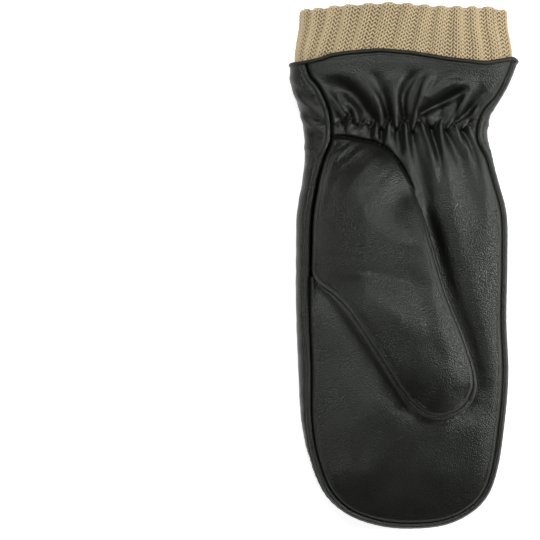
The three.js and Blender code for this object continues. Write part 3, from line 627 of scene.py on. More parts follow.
def palm_skin(places, fine=True):
    """The palm's surface. Without the fine part it is the plain form that other pieces rest on."""
    distance, outward, seam = rim_distance(places)
    point, normal = skin(places, distance, outward, 1)
    inside = distance - seam
    y = places[:, 1]
    fade = smoothstep(inside, *FOLDS_INSET) * (1 - smoothstep(y, *FOLDS_DIE_OUT))
    height = FOLD_STRENGTH * (fold_heights(places, FOLDS_ABOVE) + fold_heights(places, FOLDS_BELOW))
    height += fold_heights(places, PALM_SWELLS)
    if fine:
        uneven = PALM_RIPPLE * ripples(places, PALM_RIPPLE_SIZE, seed=4)
        height += gather_heights(places) + uneven - thumb_hollow(places)
    point[:, 2] += height * fade
    if fine:
        roll = PALM_ROLL_HEIGHT * bell(inside - PALM_ROLL_INSET, PALM_ROLL_WIDTH)
        point[:, 2] += turned_edge(inside - SEAM_GAP, PALM_SEAM_REACH, PALM_SEAM_DEPTH)
        point[:, 2] += roll * smoothstep(y, *PALM_ROLL_ALONG)
    return point, normal


def grid_faces(rows, columns, closed=False):
    """Faces between the points of a grid; a closed one joins its last column to its first."""
    j, i = np.meshgrid(np.arange(rows - 1), np.arange(columns if closed else columns - 1), indexing="ij")
    a, b = (j * columns + i).ravel(), (j * columns + (i + 1) % columns).ravel()
    return np.stack([a, b, b + columns, a + columns], axis=1)


def grid_normals(grid, turn):
    """Outward directions of a grid of points; turn is 1 or -1."""
    across = np.gradient(grid, axis=1)
    along = np.gradient(grid, axis=0)
    normal = np.cross(along, across) * turn
    return normal / np.maximum(np.linalg.norm(normal, axis=2), 1e-9)[..., None]


def border_edges(faces):
    """The edges that only one face has, in its turning direction."""
    edges = np.vstack([faces[:, [k, (k + 1) % 4]] for k in range(4)])
    count = faces.max() + 1
    single = ~np.isin(edges[:, 0] * count + edges[:, 1], edges[:, 1] * count + edges[:, 0])
    return edges[single].T


def walled(points, faces, normals, wall):
    """A sheet given its thickness inwards, closed along its edges."""
    count = len(points)
    a, b, c = (points[faces[:, k]] for k in range(3))
    if np.sum(np.cross(b - a, c - a) * normals[faces[:, 0]]) < 0:
        faces = faces[:, ::-1]
    a, b = border_edges(faces)
    sides = np.stack([b, a, a + count, b + count], axis=1)
    inner = (faces + count)[:, ::-1]
    body = np.vstack([points, points - normals * wall])
    return body, [faces, inner, sides]


def new_piece(name, parts, material):
    """A smooth mesh object from parts in millimetres, each a list of points and lists of faces."""
    points, loops, totals = [], [], []
    base = 0
    for part_points, face_sets in parts:
        for faces in face_sets:
            loops.append((faces + base).ravel())
            totals.append(np.full(len(faces), faces.shape[1]))
        points.append(part_points)
        base += len(part_points)
    points, loops, totals = np.vstack(points) * MM, np.concatenate(loops), np.concatenate(totals)
    mesh = bpy.data.meshes.new(name)
    mesh.vertices.add(len(points))
    mesh.vertices.foreach_set("co", points.astype(np.float32).ravel())
    mesh.loops.add(len(loops))
    mesh.loops.foreach_set("vertex_index", loops.astype(np.int32))
    mesh.polygons.add(len(totals))
    starts = np.concatenate([[0], np.cumsum(totals)[:-1]])
    mesh.polygons.foreach_set("loop_start", starts.astype(np.int32))
    mesh.polygons.foreach_set("use_smooth", np.ones(len(totals), bool))
    mesh.update(calc_edges=True)
    mesh.validate()
    mesh.materials.append(material)
    return place_piece(bpy.data.objects.new(name, mesh))


def place_piece(piece):
    bpy.context.scene.collection.objects.link(piece)
    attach(piece, "root")
    return piece


def coons(top, bottom, left, right, u, v):
    """A grid of points inside four side curves: top and bottom run across, left and right down."""
    u, v = u[None, :, None], v[:, None, None]
    sides = top * (1 - v) + bottom * v + left[:, None] * (1 - u) + right[:, None] * u
    corners = top[0] * (1 - u) * (1 - v) + top[-1] * u * (1 - v)
    return sides - corners - bottom[0] * (1 - u) * v - bottom[-1] * u * v


def panel_edge(share, seam):
    rim = rim_at(share)
    return rim["point"] + rim["inward"] * (rim[seam] + SEAM_GAP)[:, None]


def wrist_edge(x, side):
    if side > 0:
        return np.interp(x, WRIST_EDGE["x"], WRIST_EDGE["y"])
    across = np.minimum(1, np.abs(x) / BACK_EDGE_HALF)
    return BACK_EDGE_SIDE + BACK_EDGE_ARCH * (1 - across**2)


def panel_top(u, seam, side):
    """A panel's top edge, which reaches the wrist edge's arch an eighth of the way in from its corners."""
    left, right = panel_edge(0, seam), panel_edge(1, seam)
    edge = left * (1 - u[:, None]) + right * u[:, None]
    arch = wrist_edge(edge[:, 0], side) - edge[:, 1]
    edge[:, 1] += arch * np.minimum(1, 8 * np.minimum(u, 1 - u))
    return edge


def hand_grid(seam, side, across, along, crowding):
    """Places over the palm or the back; crowding draws its rows together at the gathers, less so
    over the whole wrist. The two lie at shares of the way from the wrist edge to the tip."""
    gathers, gathers_width = 0.135, 0.045
    wrist, wrist_width, wrist_crowding = 0.07, 0.12, 0.35
    u, fine = np.linspace(0, 1, across + 1), np.linspace(0, 1, 2001)
    extra = bell(fine - gathers, gathers_width) + wrist_crowding * bell(fine - wrist, wrist_width)
    density = 1 + crowding * extra
    v = np.interp(np.linspace(0, 1, along + 1), np.cumsum(density) / density.sum(), fine)
    v[0] = 0
    return coons(
        panel_top(u, seam, side),
        panel_edge(TIP_START + (TIP_END - TIP_START) * u, seam),
        panel_edge(TIP_START * v, seam),
        panel_edge(1 - (1 - TIP_END) * v, seam),
        u,
        v,
    )


def inside_outline(outline, places):
    x, y = places.T
    crossings = np.zeros(len(places), int)
    for (x1, y1), (x2, y2) in zip(outline, np.roll(outline, -1, axis=0)):
        spans = (y1 > y) != (y2 > y)
        if y1 != y2:
            crossings += spans & (x < (x2 - x1) * (y - y1) / (y2 - y1) + x1)
    return crossings % 2 == 1


def thumb_opening():
    """The outline of the palm's opening into the thumb, closed beyond the hand's left side."""
    base = Curve(columns_of(THUMB_BASE))
    share = np.linspace(0, 1, 60)
    tangent = base.tangent(share)
    sideways = np.stack([-tangent[:, 1], tangent[:, 0]], axis=1)
    seam_side = base.at(share) + sideways * (SEAM_GAP + OPENING_EASE)
    crotch = Curve(columns_of(CROTCH)).at(np.linspace(0, 1, 40))
    first, last = (OPENING_BEYOND, seam_side[0, 1]), (OPENING_BEYOND, crotch[-1, 1])
    return np.vstack([first, seam_side, crotch, last])


def build_palm(sizes, material):
    """A grid cut out where the thumb opens, with the cut edge drawn onto the opening's outline."""
    grid = hand_grid("palm", 1, **PALM_GRID)
    places = grid.reshape(-1, 2)
    faces = grid_faces(*grid.shape[:2])
    outline = thumb_opening()
    keep = ~inside_outline(outline, places[faces].mean(axis=1))
    used, faces = np.unique(faces[keep], return_inverse=True)
    faces = faces.reshape(-1, 4)
    places = places[used]
    edge_distance, nearest, _ = nearest_on(np.vstack([outline, outline[:1]]), places)
    rim = np.unique(border_edges(faces))
    rim = rim[edge_distance[rim] < OPENING_SNAP]
    places[rim] = nearest[rim]
    edge_distance[rim] = 0
    point, normal = palm_skin(places)
    base_side = smoothstep(places[:, 1], *THUMB_SEAM_ALONG)
    point[:, 2] += base_side * turned_edge(edge_distance, THUMB_SEAM_REACH, THUMB_SEAM_DEPTH)
    return new_piece("palm_leather", [walled(point, faces, normal, sizes.leather / MM)], material)


def build_back(sizes, material):
    """A plain panel, flat where the mitten lies on it."""
    grid = hand_grid("back", -1, **BACK_GRID)
    places = grid.reshape(-1, 2)
    faces = grid_faces(*grid.shape[:2])
    distance, outward, _ = rim_distance(places)
    point, normal = skin(places, distance, outward, -1)
    sway = SWAY_HEIGHT * smoothstep(places[:, 1], *SWAY_ALONG) * smoothstep(distance, *SWAY_INSET)
    sway *= ripples(places * (1, SWAY_STRETCH), SWAY_SIZE, seed=8)
    point[:, 2] = np.maximum(point[:, 2] + sway, 0)
    return new_piece("back_leather", [walled(point, faces, normal, sizes.leather / MM)], material)


def build_gusset(sizes, material):
    """Its grid runs round the outline, closer at the wrist, and from the palm seam to the back seam."""
    wrist_crowding, top_crowding, bottom_crowding, far = 1.3, 1.5, 2, 99.0
    side_steps, tip_steps = GUSSET_STEPS["side"], GUSSET_STEPS["tip"]
    stations = np.concatenate(
        [
            TIP_START * np.linspace(0, 1, side_steps, endpoint=False) ** wrist_crowding,
            np.linspace(TIP_START, TIP_END, tip_steps, endpoint=False),
            1 - (1 - TIP_END) * np.linspace(1, 0, side_steps + 1) ** wrist_crowding,
        ]
    )
    rim = rim_at(stations)
    top_shares = np.linspace(1, 0, GUSSET_STEPS["top"])
    bottom_shares = np.linspace(0, 1, GUSSET_STEPS["bottom"])[1:]
    strands = [("palm", share**top_crowding, 1) for share in top_shares]
    strands += [("back", share**bottom_crowding, -1) for share in bottom_shares]
    columns, normals, seam_distance = [], [], []
    for seam, share, side in strands:
        distance = rim[seam] * share
        places = rim["point"] + rim["inward"] * distance[:, None]
        point, normal = skin(places, distance, -rim["inward"], side)
        columns.append(point)
        normals.append(normal)
        seam_distance.append(rim["palm"] - distance if side > 0 else np.full(len(distance), far))
    point, normal = np.stack(columns, axis=1), np.stack(normals, axis=1)
    seam_distance = np.stack(seam_distance, axis=1)
    flat = point.reshape(-1, 3)
    length = (stations * RIM_CURVE.length)[:, None]
    drift = PUCKER_DRIFT * np.sin(length / PUCKER_DRIFT_LENGTH)
    pucker = 0.5 + 0.5 * np.sin(2 * math.pi * length / PUCKER_LENGTH + drift)
    welt = smoothstep(seam_distance, *WELT_START) * (1 - smoothstep(seam_distance, *WELT_END))
    lift = WELT_HEIGHT * welt + turned_edge(seam_distance, GUSSET_SEAM_REACH, GUSSET_SEAM_DEPTH)
    lift -= CREASE_DEPTH * bell(seam_distance - CREASE_PLACE, CREASE_WIDTH)
    lift += PUCKER_HEIGHT * pucker * bell(seam_distance - PUCKER_PLACE, PUCKER_WIDTH)
    folds = fold_heights(flat[:, :2], GUSSET_FOLDS).reshape(lift.shape)
    lift += folds * smoothstep(seam_distance, *GUSSET_FOLDS_START) * (seam_distance < far)
    uneven = GUSSET_RIPPLE * ripples(flat[:, 1:], GUSSET_RIPPLE_SIZE, seed=3).reshape(lift.shape)
    lift += uneven * smoothstep(seam_distance, *GUSSET_RIPPLE_START)
    outer = point + normal * lift[..., None]
    faces = grid_faces(*outer.shape[:2])
    body = walled(outer.reshape(-1, 3), faces, normal.reshape(-1, 3), sizes.leather / MM)
    return new_piece("gusset_leather", [body], material)


def dome(distance, reach, power=2):
    """A round rise from 0 at an edge to 1 at the reach."""
    run = np.maximum(0, 1 - distance / reach)
    return np.maximum(0, 1 - run**power) ** (1 / power)


def rim_share_at(y):
    """The outline's share at which its left side passes y."""
    share = np.linspace(0, 0.4, 401)
    return np.interp(-y, -rim_at(share)["point"][:, 1], share)


def thumb_sides():
    """The thumb's four side curves, on its outline, with their heights."""
    rim = rim_at(np.linspace(rim_share_at(THUMB_ROOT_TOP), rim_share_at(THUMB_ROOT_BOTTOM), 18))
    places = rim["point"] + rim["inward"] * (rim["palm"] + THUMB_ROOT_INSET)[:, None]
    root, _ = skin(places, rim["palm"], rim["inward"], 1)
    base = columns_of(THUMB_BASE)
    base = np.column_stack([base, palm_skin(base, fine=False)[0][:, 2]])
    base[0] = root[0]
    base[-1, 2] = THUMB_CORNER_Z
    return {
        "top": Curve(base),
        "left": Curve(np.vstack([root, columns_of(THUMB_LEFT, "x y z")])),
        "bottom": Curve(columns_of(THUMB_TIP, "x y z")),
        "right": Curve(np.vstack([base[-1:], columns_of(THUMB_RIGHT, "x y z")])),
    }


def free_edge(sides):
    """The thumb's free edge from its root round the tip to its base: its points, each one's share down
    the thumb, the way inwards there, and how far in the seam of the two panels lies."""
    left = np.linspace(0.5, 1, FREE_EDGE_STEPS["left"])
    around = np.linspace(0, 1, FREE_EDGE_STEPS["tip"])[1:-1]
    right = np.linspace(1, 0, FREE_EDGE_STEPS["right"])
    edge = np.vstack([sides["left"].at(left), sides["bottom"].at(around), sides["right"].at(right)])
    share_down = np.concatenate([left, np.ones(len(around)), right])
    step = np.gradient(edge[:, :2], axis=0)
    inward = np.stack([-step[:, 1], step[:, 0]], axis=1)
    inward /= np.linalg.norm(inward, axis=1)[:, None]
    width = 2 * FREE_EDGE_SOFTENING + 1
    soft = np.ones(width) / width
    padded = np.pad(inward, ((FREE_EDGE_SOFTENING, FREE_EDGE_SOFTENING), (0, 0)), mode="edge")
    inward = np.stack([np.convolve(column, soft, mode="valid") for column in padded.T], axis=1)
    y = edge[:, 1]
    on_right = np.arange(len(edge)) >= len(left) + len(around)
    more_at_tip = (SEAM_INSET_TIP - SEAM_INSET_RIGHT) * smoothstep(y, *INSET_TIP_ALONG)
    inset_right = (SEAM_INSET_RIGHT + more_at_tip) * smoothstep(y, *INSET_RIGHT_ALONG)
    inset_left = SEAM_INSET_LEFT * smoothstep(y, *INSET_LEFT_ALONG)
    return edge, share_down, inward, np.where(on_right, inset_right, inset_left)


def inset_side(points, sides):
    """Points of the free edge moved in to the seam between the thumb's two panels."""
    edge, _, inward, inset = free_edge(sides)
    _, _, row = nearest_on(edge[:, :2], points[:, :2])
    rows = np.arange(len(edge))
    moved = points.copy()
    for axis in range(2):
        moved[:, axis] += np.interp(row, rows, inward[:, axis] * inset)
    return moved


def thumb_swell(places, sides, share_down):
    """The height that the thumb's stuffed form adds over its outline: it rises steeply from its free
    edges and gently from its base seam and its root."""
    past_root = 3
    left = sides["left"].path[::PATH_STRIDE, :2]
    on_root = left[:, 1] > THUMB_ROOT_BOTTOM - past_root
    top, bottom, right = (sides[name].path[::PATH_STRIDE, :2] for name in ("top", "bottom", "right"))
    sewn = (top, left[on_root])
    free = (left[~on_root], bottom, right)
    swell = THUMB_SWELL_BASE + (THUMB_SWELL_TIP - THUMB_SWELL_BASE) * share_down
    for path in sewn:
        swell = swell * dome(nearest_on(path, places)[0], SEWN_EDGE_REACH, SEWN_EDGE_POWER)
    for path in free:
        swell = swell * dome(nearest_on(path, places)[0], FREE_EDGE_REACH)
    return swell


def build_thumb_front(sizes, material):
    """Its grid lies between the base seam and the panels' seam, closer at the edges, and swells up."""
    sides = thumb_sides()
    even = np.linspace(0, 1, THUMB_FRONT_STEPS["across"] + 1)
    u = (1 - np.cos(math.pi * even)) / 2
    v = 1 - (1 - np.linspace(0, 1, THUMB_FRONT_STEPS["along"] + 1)) ** THUMB_CROWDING
    top = sides["top"].at(u)
    left = inset_side(sides["left"].at(v), sides)
    bottom = inset_side(sides["bottom"].at(u), sides)
    right = inset_side(sides["right"].at(v), sides)
    left[-1], right[-1] = bottom[0], bottom[-1]
    grid = coons(top, bottom, left, right, even, v)
    flat = grid.reshape(-1, 3)
    flat[:, 2] += thumb_swell(flat[:, :2], sides, np.repeat(v, len(u)))
    seam = np.vstack([top, right, bottom[::-1], left[::-1]])[:, :2]
    inside, _, _ = nearest_on(seam, flat[:, :2])
    normals = grid_normals(flat.reshape(grid.shape), 1)
    normals[0] = (0, 0, 1)
    uneven = THUMB_RIPPLE * ripples(flat[:, :2], THUMB_RIPPLE_SIZE, seed=21)
    folds = fold_heights(flat[:, :2], THUMB_FOLDS) + uneven
    roll = THUMB_ROLL_HEIGHT * bell(inside - THUMB_ROLL_INSET, THUMB_ROLL_WIDTH)
    flat[:, 2] += smoothstep(inside, *THUMB_FOLDS_INSET) * folds
    flat[:, 2] += turned_edge(inside, FREE_SEAM_REACH, FREE_SEAM_DEPTH) + roll
    faces = grid_faces(*grid.shape[:2])
    body = walled(flat, faces, normals.reshape(-1, 3), sizes.leather / MM)
    return new_piece("thumb_front_leather", [body], material)


def thumb_back_sheet(sizes, sides):
    """The hidden sheet of the thumb's back, from its free edge to where it rests on the palm."""

    def lowered(rows):
        side = columns_of(rows, "x y z")
        side[:, 2] -= SHEET_DROP
        return side

    def resting(places):
        return palm_skin(places, fine=False)[0][:, 2] + SHEET_CLEARANCE

    top_points = columns_of(THUMB_BACK_TOP)
    top = Curve(np.column_stack([top_points, resting(top_points)]))
    left = Curve(np.vstack([top.at(0), lowered(THUMB_LEFT)[1:]]))
    right = Curve(np.vstack([top.at(1), lowered(THUMB_RIGHT)[1:]]))
    bottom = Curve(lowered(THUMB_TIP))
    even = np.linspace(0, 1, THUMB_BACK_STEPS["across"] + 1)
    u = (1 - np.cos(math.pi * even)) / 2
    v = 1 - (1 - np.linspace(0, 1, THUMB_BACK_STEPS["along"] + 1)) ** THUMB_CROWDING
    grid = coons(top.at(u), bottom.at(u), left.at(v), right.at(v), even, v)
    flat = grid.reshape(-1, 3)
    outlines = [side.path[::PATH_STRIDE, :2] for side in (left, bottom, right)]
    distance = np.min([nearest_on(path, flat[:, :2])[0] for path in outlines], axis=0)
    belly = SHEET_BELLY * dome(distance, SHEET_BELLY_REACH)
    flat[:, 2] = np.maximum(flat[:, 2] - belly, resting(flat[:, :2]))
    normals = grid_normals(flat.reshape(grid.shape), -1)
    return walled(flat, grid_faces(*grid.shape[:2]), normals.reshape(-1, 3), sizes.leather / MM)


def free_side_paths(sides):
    """The free edge and the panels' seam beside it, where the two lie apart, and the share down."""
    edge, share_down, inward, inset = free_edge(sides)
    seam = edge.copy()
    seam[:, :2] += inward * inset[:, None]
    apart = inset > STRIP_SEEN_WIDTH
    return edge[apart], seam[apart], share_down[apart]


def build_thumb_back(sizes, material):
    """Its hidden sheet, and the strip of it that rolls up round the free edge to the panels' seam."""
    rows_up, crowding, centre_drop = 13, 1.6, 3
    sides = thumb_sides()
    outline, seam, share_down = free_side_paths(sides)
    width = np.linalg.norm(seam[:, :2] - outline[:, :2], axis=1)
    rows = []
    for share in np.linspace(0, 1, rows_up) ** crowding:
        row = outline + (seam - outline) * share
        row[:, 2] = outline[:, 2] + thumb_swell(row[:, :2], sides, share_down)
        row[:, 2] += turned_edge(width * (1 - share), STRIP_SEAM_REACH, STRIP_SEAM_DEPTH)
        rows.append(row)
    tuck = outline + (seam - outline) * STRIP_TUCK_SHARE
    tuck[:, 2] = outline[:, 2] - STRIP_TUCK
    band = np.stack([tuck, *rows], axis=1)
    normals = grid_normals(band, 1)
    normals[:, 0] = normals[:, 1]
    centre = band[:, -1:] - (0, 0, centre_drop)
    normals *= np.sign(np.sum(normals * (band - centre), axis=2, keepdims=True))
    strip = walled(band.reshape(-1, 3), grid_faces(*band.shape[:2]), normals.reshape(-1, 3), STRIP_WALL)
    parts = [thumb_back_sheet(sizes, sides), strip]
    return new_piece("thumb_back_leather", parts, material)


def closed_path(points, count):
    """Evenly spaced points of a smooth closed curve through some points."""
    wrapped = np.vstack([points[-2:], points, points[:3]])
    rows = len(wrapped) - 1
    t = np.linspace(2 / rows, (2 + len(points)) / rows, 3000)
    path = smooth_through(wrapped, t)
    length = np.concatenate([[0], np.cumsum(np.linalg.norm(np.diff(path[:, :3], axis=0), axis=1))])
    at = np.arange(count) / count * length[-1]
    return np.column_stack([np.interp(at, length, column) for column in path.T])


def wrist_loop():
    """Points of the leather's wrist edge all round, with the skin's outward directions."""
    u = np.linspace(0, 1, 25)
    palm = palm_skin(panel_top(u, "palm", 1), fine=False)
    back_places = panel_top(1 - u, "back", -1)
    distance, outward, _ = rim_distance(back_places)
    back = skin(back_places, distance, outward, -1)

    def corner(share, distance, side):
        rim = rim_at(share)
        places = rim["point"] + rim["inward"] * distance
        return skin(places, np.array([distance]), -rim["inward"], side)

    right = [corner(1, 1.0, 1), corner(1, 0.0, 1), corner(1, 1.0, -1)]
    left = [corner(0, 1.0, -1), corner(0, 0.0, 1), corner(0, 1.0, 1), corner(0, 4.0, 1)]
    both = [palm, *right, back, *left]
    return np.vstack([point for point, _ in both]), np.vstack([normal for _, normal in both])


def build_binding(sizes, material):
    """A round roll that follows the wrist edge all round, flattened where it lies on the floor."""
    point, normal = wrist_loop()
    middle = point - normal * sizes.leather / MM / 2
    path = closed_path(np.hstack([middle, normal]), BINDING_RINGS)
    centre, up = path[:, :3], path[:, 3:]
    tangent = np.roll(centre, -1, axis=0) - np.roll(centre, 1, axis=0)
    tangent /= np.linalg.norm(tangent, axis=1)[:, None]
    up = up - tangent * np.sum(up * tangent, axis=1)[:, None]
    up /= np.linalg.norm(up, axis=1)[:, None]
    out = np.cross(up, tangent)
    out *= np.where(out[:, 1] < 0, -1, 1)[:, None]
    centre = centre + out * BINDING_OVERHANG
    centre[:, 2] = np.maximum(centre[:, 2], BINDING_RADIUS)
    angle = np.linspace(0, 2 * math.pi, BINDING_SIDES, endpoint=False)
    round_shape = out[:, None] * np.cos(angle)[:, None] + up[:, None] * np.sin(angle)[:, None]
    grid = centre[:, None] + BINDING_RADIUS * round_shape
    grid[:, :, 2] = np.maximum(grid[:, :, 2], 0)
    rings = np.vstack([grid, grid[:1]])
    faces = grid_faces(len(rings), BINDING_SIDES, closed=True)
    count = BINDING_RINGS * BINDING_SIDES
    faces = np.where(faces >= count, faces - count, faces)
    a, b, c = (grid.reshape(-1, 3)[faces[0, k]] for k in range(3))
    if np.dot(np.cross(b - a, c - a), round_shape.reshape(-1, 3)[faces[0, 0]]) < 0:
        faces = faces[:, ::-1]
    return new_piece("binding_leather", [(grid.reshape(-1, 3), [faces])], material)


# The folded rib knit. Its loops are counted in wales round the cuff and in rows along it.
KNIT = 3.4  # the folded wall's thickness at a crest
RIB_DEPTH, RIB_STEEPNESS = 1.2, 1.6
EVEN_RING_Y, EVEN_RING_STEPS = 120.0, 1441  # the ring round the cuff where all wales are equally wide
LEAN_LENGTH, LEAN_LIMIT = 22, 1.15  # RIB_LEAN's wrist row holds this far from the mouth, and it grows on
KNIT_HIDDEN = 7  # how far the knit goes on under the leather
GROUND_SUNK, GROUND_SUNK_INSIDE = 0.75, 0.5  # how deep the ground lies below the wall's surface
GROUND_STEP, GROUND_ROWS, GROUND_ROLL_ROWS = 0.2, 16, 9
GROUND_ROLL_TURN = (0.3, 2.84)  # the angles of its rows round the mouth's roll

# The yarn: a row's length, how many rows, how many of them start inside the mouth's roll, how far a
# loop reaches along the arm, in rows, how wide it sways on a rib and in a valley, in wales, and how
# far it goes in and out round its middle depth
COURSE = 1.95
COURSES = 20
ROWS_INSIDE, ROWS_ON_ROLL = 3.2, 2
LOOP_REACH = 0.62
LOOP_STEPS = 10
SWAY_RIB, SWAY_VALLEY = 0.24, 0.31
YARN_SUNK, YARN_WEAVE = 0.5, 0.42

# How much light is painted on the yarn's middle on a rib and in a valley, and how much that changes as it
# weaves: low values are painted shade where the yarn dips into the knit's hollows
PAINTED_LIGHT_RIB, PAINTED_LIGHT_VALLEY = 0.68, 0.38
PAINTED_LIGHT_WEAVE_RIB, PAINTED_LIGHT_WEAVE_VALLEY = 0.4, 1.0

UPPER_SIDE_Z = 13  # the knit above this height goes under the palm's edge, below it under the back's
UNDER_EDGE = 1.5  # yarn this far under the leather's edge is left out


def cuff_surface(angle, y, depth):
    """Points of the cuff by their angle round it, place along it and depth below its crests."""
    top = np.interp(y, CUFF["y"], CUFF["top"])
    bottom = np.interp(y, CUFF["y"], CUFF["bottom"])
    half = np.interp(y, CUFF["y"], CUFF["half"]) - depth
    rise = (top - bottom) / 2 - depth
    c, s = np.cos(angle), np.sin(angle)
    across = half * np.sign(c) * np.abs(c) ** (2 / SECTION_POWER)
    height = (top + bottom) / 2 + rise * np.sign(s) * np.abs(s) ** (2 / SECTION_POWER)
    return np.stack(np.broadcast_arrays(across, y, height), axis=-1)


FINE_ANGLES = np.linspace(0, 2 * math.pi, EVEN_RING_STEPS)
FINE_RING = cuff_surface(FINE_ANGLES, np.full(EVEN_RING_STEPS, EVEN_RING_Y), 0)
FINE_LENGTH = np.concatenate([[0], np.cumsum(np.linalg.norm(np.diff(FINE_RING, axis=0), axis=1))])


def angle_of(wale):
    """The angle round the cuff of a place counted in wales."""
    share = np.mod(wale, RIBS * WALES_PER_RIB) / (RIBS * WALES_PER_RIB)
    return np.interp(share * FINE_LENGTH[-1], FINE_LENGTH, FINE_ANGLES)


def leaning(angle, from_mouth):
    """The angle of a place whose rib leans sideways on the upper side of the cuff."""
    c = np.cos(angle)
    across = np.sign(c) * np.abs(c) ** (2 / SECTION_POWER)
    share = np.clip(from_mouth / LEAN_LENGTH, 0, LEAN_LIMIT)
    half = CUFF["half"][-1]
    mouth = np.interp(across * half, RIB_LEAN["x"], RIB_LEAN["mouth"])
    wrist = np.interp(across * half, RIB_LEAN["x"], RIB_LEAN["wrist"])
    moved = np.clip(across + (mouth + (wrist - mouth) * share) / half, -1, 1)
    leant = np.arccos(np.sign(moved) * np.abs(moved) ** (SECTION_POWER / 2))
    return np.where(np.sin(angle) > 0, leant, angle)


def rib_valley(wale):
    """How deep the knit lies below the crests at a place counted in wales."""
    wave = np.cos(2 * math.pi * (wale - 0.5) / WALES_PER_RIB)
    return RIB_DEPTH * (0.5 - 0.5 * np.tanh(RIB_STEEPNESS * wave) / math.tanh(RIB_STEEPNESS))


def mouth_start(angle, valley):
    """Where the mouth's roll starts, along the arm."""
    c = np.cos(angle)
    x = CUFF["half"][-1] * np.sign(c) * np.abs(c) ** (2 / SECTION_POWER)
    drop = np.interp(x, MOUTH["x"], MOUTH["drop"]) + MOUTH_SCALLOP * valley / RIB_DEPTH
    return CUFF_MOUTH_Y - drop - KNIT / 2


def cuff_wall(wale, from_mouth, lift):
    """A point of the folded knit: its wale, its way back from where the mouth's roll starts,
    below zero round the roll, and its lift off the wall."""
    angle = leaning(angle_of(wale), from_mouth)
    valley = rib_valley(wale)
    roll = KNIT / 2
    start = mouth_start(angle, valley)
    turn = np.clip(-from_mouth / roll, 0, math.pi)
    beyond = np.maximum(0, -from_mouth - roll * math.pi)
    y = start - np.maximum(from_mouth, 0) - beyond + (roll + lift) * np.sin(turn)
    depth = valley + (KNIT - valley) / 2 * (1 - np.cos(turn)) - lift * np.cos(turn)
    return cuff_surface(angle, y, depth)


def build_knit_ground(material):
    """The closed wall just below the yarn, which fills the gaps between its loops. Seen through the gaps its
    outer side is painted shade; round the mouth's roll it turns to the lit beige of the inside.
    """
    wales = np.arange(0, RIBS * WALES_PER_RIB, GROUND_STEP)
    angle = angle_of(wales)
    across = cuff_surface(angle, CUFF["y"][1], 0)[:, 0]
    inner = np.where(np.sin(angle) >= 0, wrist_edge(across, 1), wrist_edge(across, -1)) - KNIT_HIDDEN
    reach = mouth_start(angle, rib_valley(wales)) - inner
    shares = np.linspace(0, 1, GROUND_ROWS)
    turns = np.linspace(*GROUND_ROLL_TURN, GROUND_ROLL_ROWS)
    roll = KNIT / 2 * np.ones(len(wales))
    end = -KNIT / 2 * math.pi
    outer_rows = [cuff_wall(wales, reach * share, -GROUND_SUNK) for share in shares[::-1]]
    roll_rows = [cuff_wall(wales, -roll * turn, -GROUND_SUNK) for turn in turns]
    inner_rows = [cuff_wall(wales, end - reach * share, -GROUND_SUNK_INSIDE) for share in shares]
    grid = np.stack([*outer_rows, *roll_rows, *inner_rows], axis=0)
    grid = np.vstack([grid, grid[:1]])
    rings, width = grid.shape[:2]
    faces = grid_faces(rings, width, closed=True)
    count = (rings - 1) * width
    faces = np.where(faces >= count, faces - count, faces)[:, ::-1]
    points = grid[:-1].reshape(-1, 3)
    piece = new_piece("knit_ground", [(points, [faces])], material)
    # Painted light: 0, painted shade, on the outer rows, rising round the mouth's roll to 1, lit, on the
    # inner rows
    outside, inside = np.zeros(GROUND_ROWS), np.ones(GROUND_ROWS)
    painted_light = np.concatenate([outside, np.linspace(0, 1, GROUND_ROLL_ROWS), inside])
    keep_painted_light(piece.data, painted_light.repeat(width))
    return piece


def yarn_path(first, last, radius):
    """The yarn's path through some courses of the folded knit, which shows its knit face all round:
    tight loops on the ribs, and open ones, that show as chevrons, in the valleys."""
    along = np.arange(RIBS * WALES_PER_RIB * LOOP_STEPS) / LOOP_STEPS
    wale = np.floor(along).astype(int)
    t = (along - wale) * 2 * math.pi - math.pi
    in_valley = rib_valley(along - 0.5) / RIB_DEPTH
    sway = SWAY_RIB + (SWAY_VALLEY - SWAY_RIB) * in_valley
    place = along + sway * np.sin(2 * t) - 0.5
    swing = np.cos(t)
    through = -np.cos(2 * t)
    # Painted light on the yarn: painted shade where it dips into the hollows, lighter where it comes up
    near = PAINTED_LIGHT_RIB + (PAINTED_LIGHT_VALLEY - PAINTED_LIGHT_RIB) * in_valley
    painted_light_weave = PAINTED_LIGHT_WEAVE_RIB + (PAINTED_LIGHT_WEAVE_VALLEY - PAINTED_LIGHT_WEAVE_RIB) * in_valley
    painted_light = np.clip(near + painted_light_weave * through, 0, 1)
    points, edges = [], []
    for course in range(first, last):
        from_mouth = (course - ROWS_INSIDE - LOOP_REACH * swing) * COURSE
        ring = cuff_wall(place, from_mouth, YARN_WEAVE * through - YARN_SUNK)
        ring[:, 2] = np.maximum(ring[:, 2], radius)
        past_roll = course > ROWS_INSIDE + ROWS_ON_ROLL
        hidden = hidden_under_leather(ring) if past_roll else np.zeros(len(ring), bool)
        n = np.arange(len(ring))
        pairs = np.stack([n, (n + 1) % len(n)], axis=1)
        pairs = pairs[~(hidden[pairs[:, 0]] | hidden[pairs[:, 1]])]
        edges.append(pairs + len(points) * len(n))
        points.append(ring)
    return np.vstack(points), np.vstack(edges), np.tile(painted_light, last - first)


def hidden_under_leather(points):
    """Which of the yarn's points the leather's wrist edge covers."""
    upper = points[:, 2] > UPPER_SIDE_Z
    edge = np.where(upper, wrist_edge(points[:, 0], 1), wrist_edge(points[:, 0], -1))
    return points[:, 1] < edge - UNDER_EDGE


def keep_painted_light(mesh, painted_light):
    """Stores the light and shade painted on each point of a mesh, from painted shade at 0 to lit at 1."""
    mesh.attributes.new("painted_light", "FLOAT", "POINT").data.foreach_set("value", painted_light.astype(np.float32))


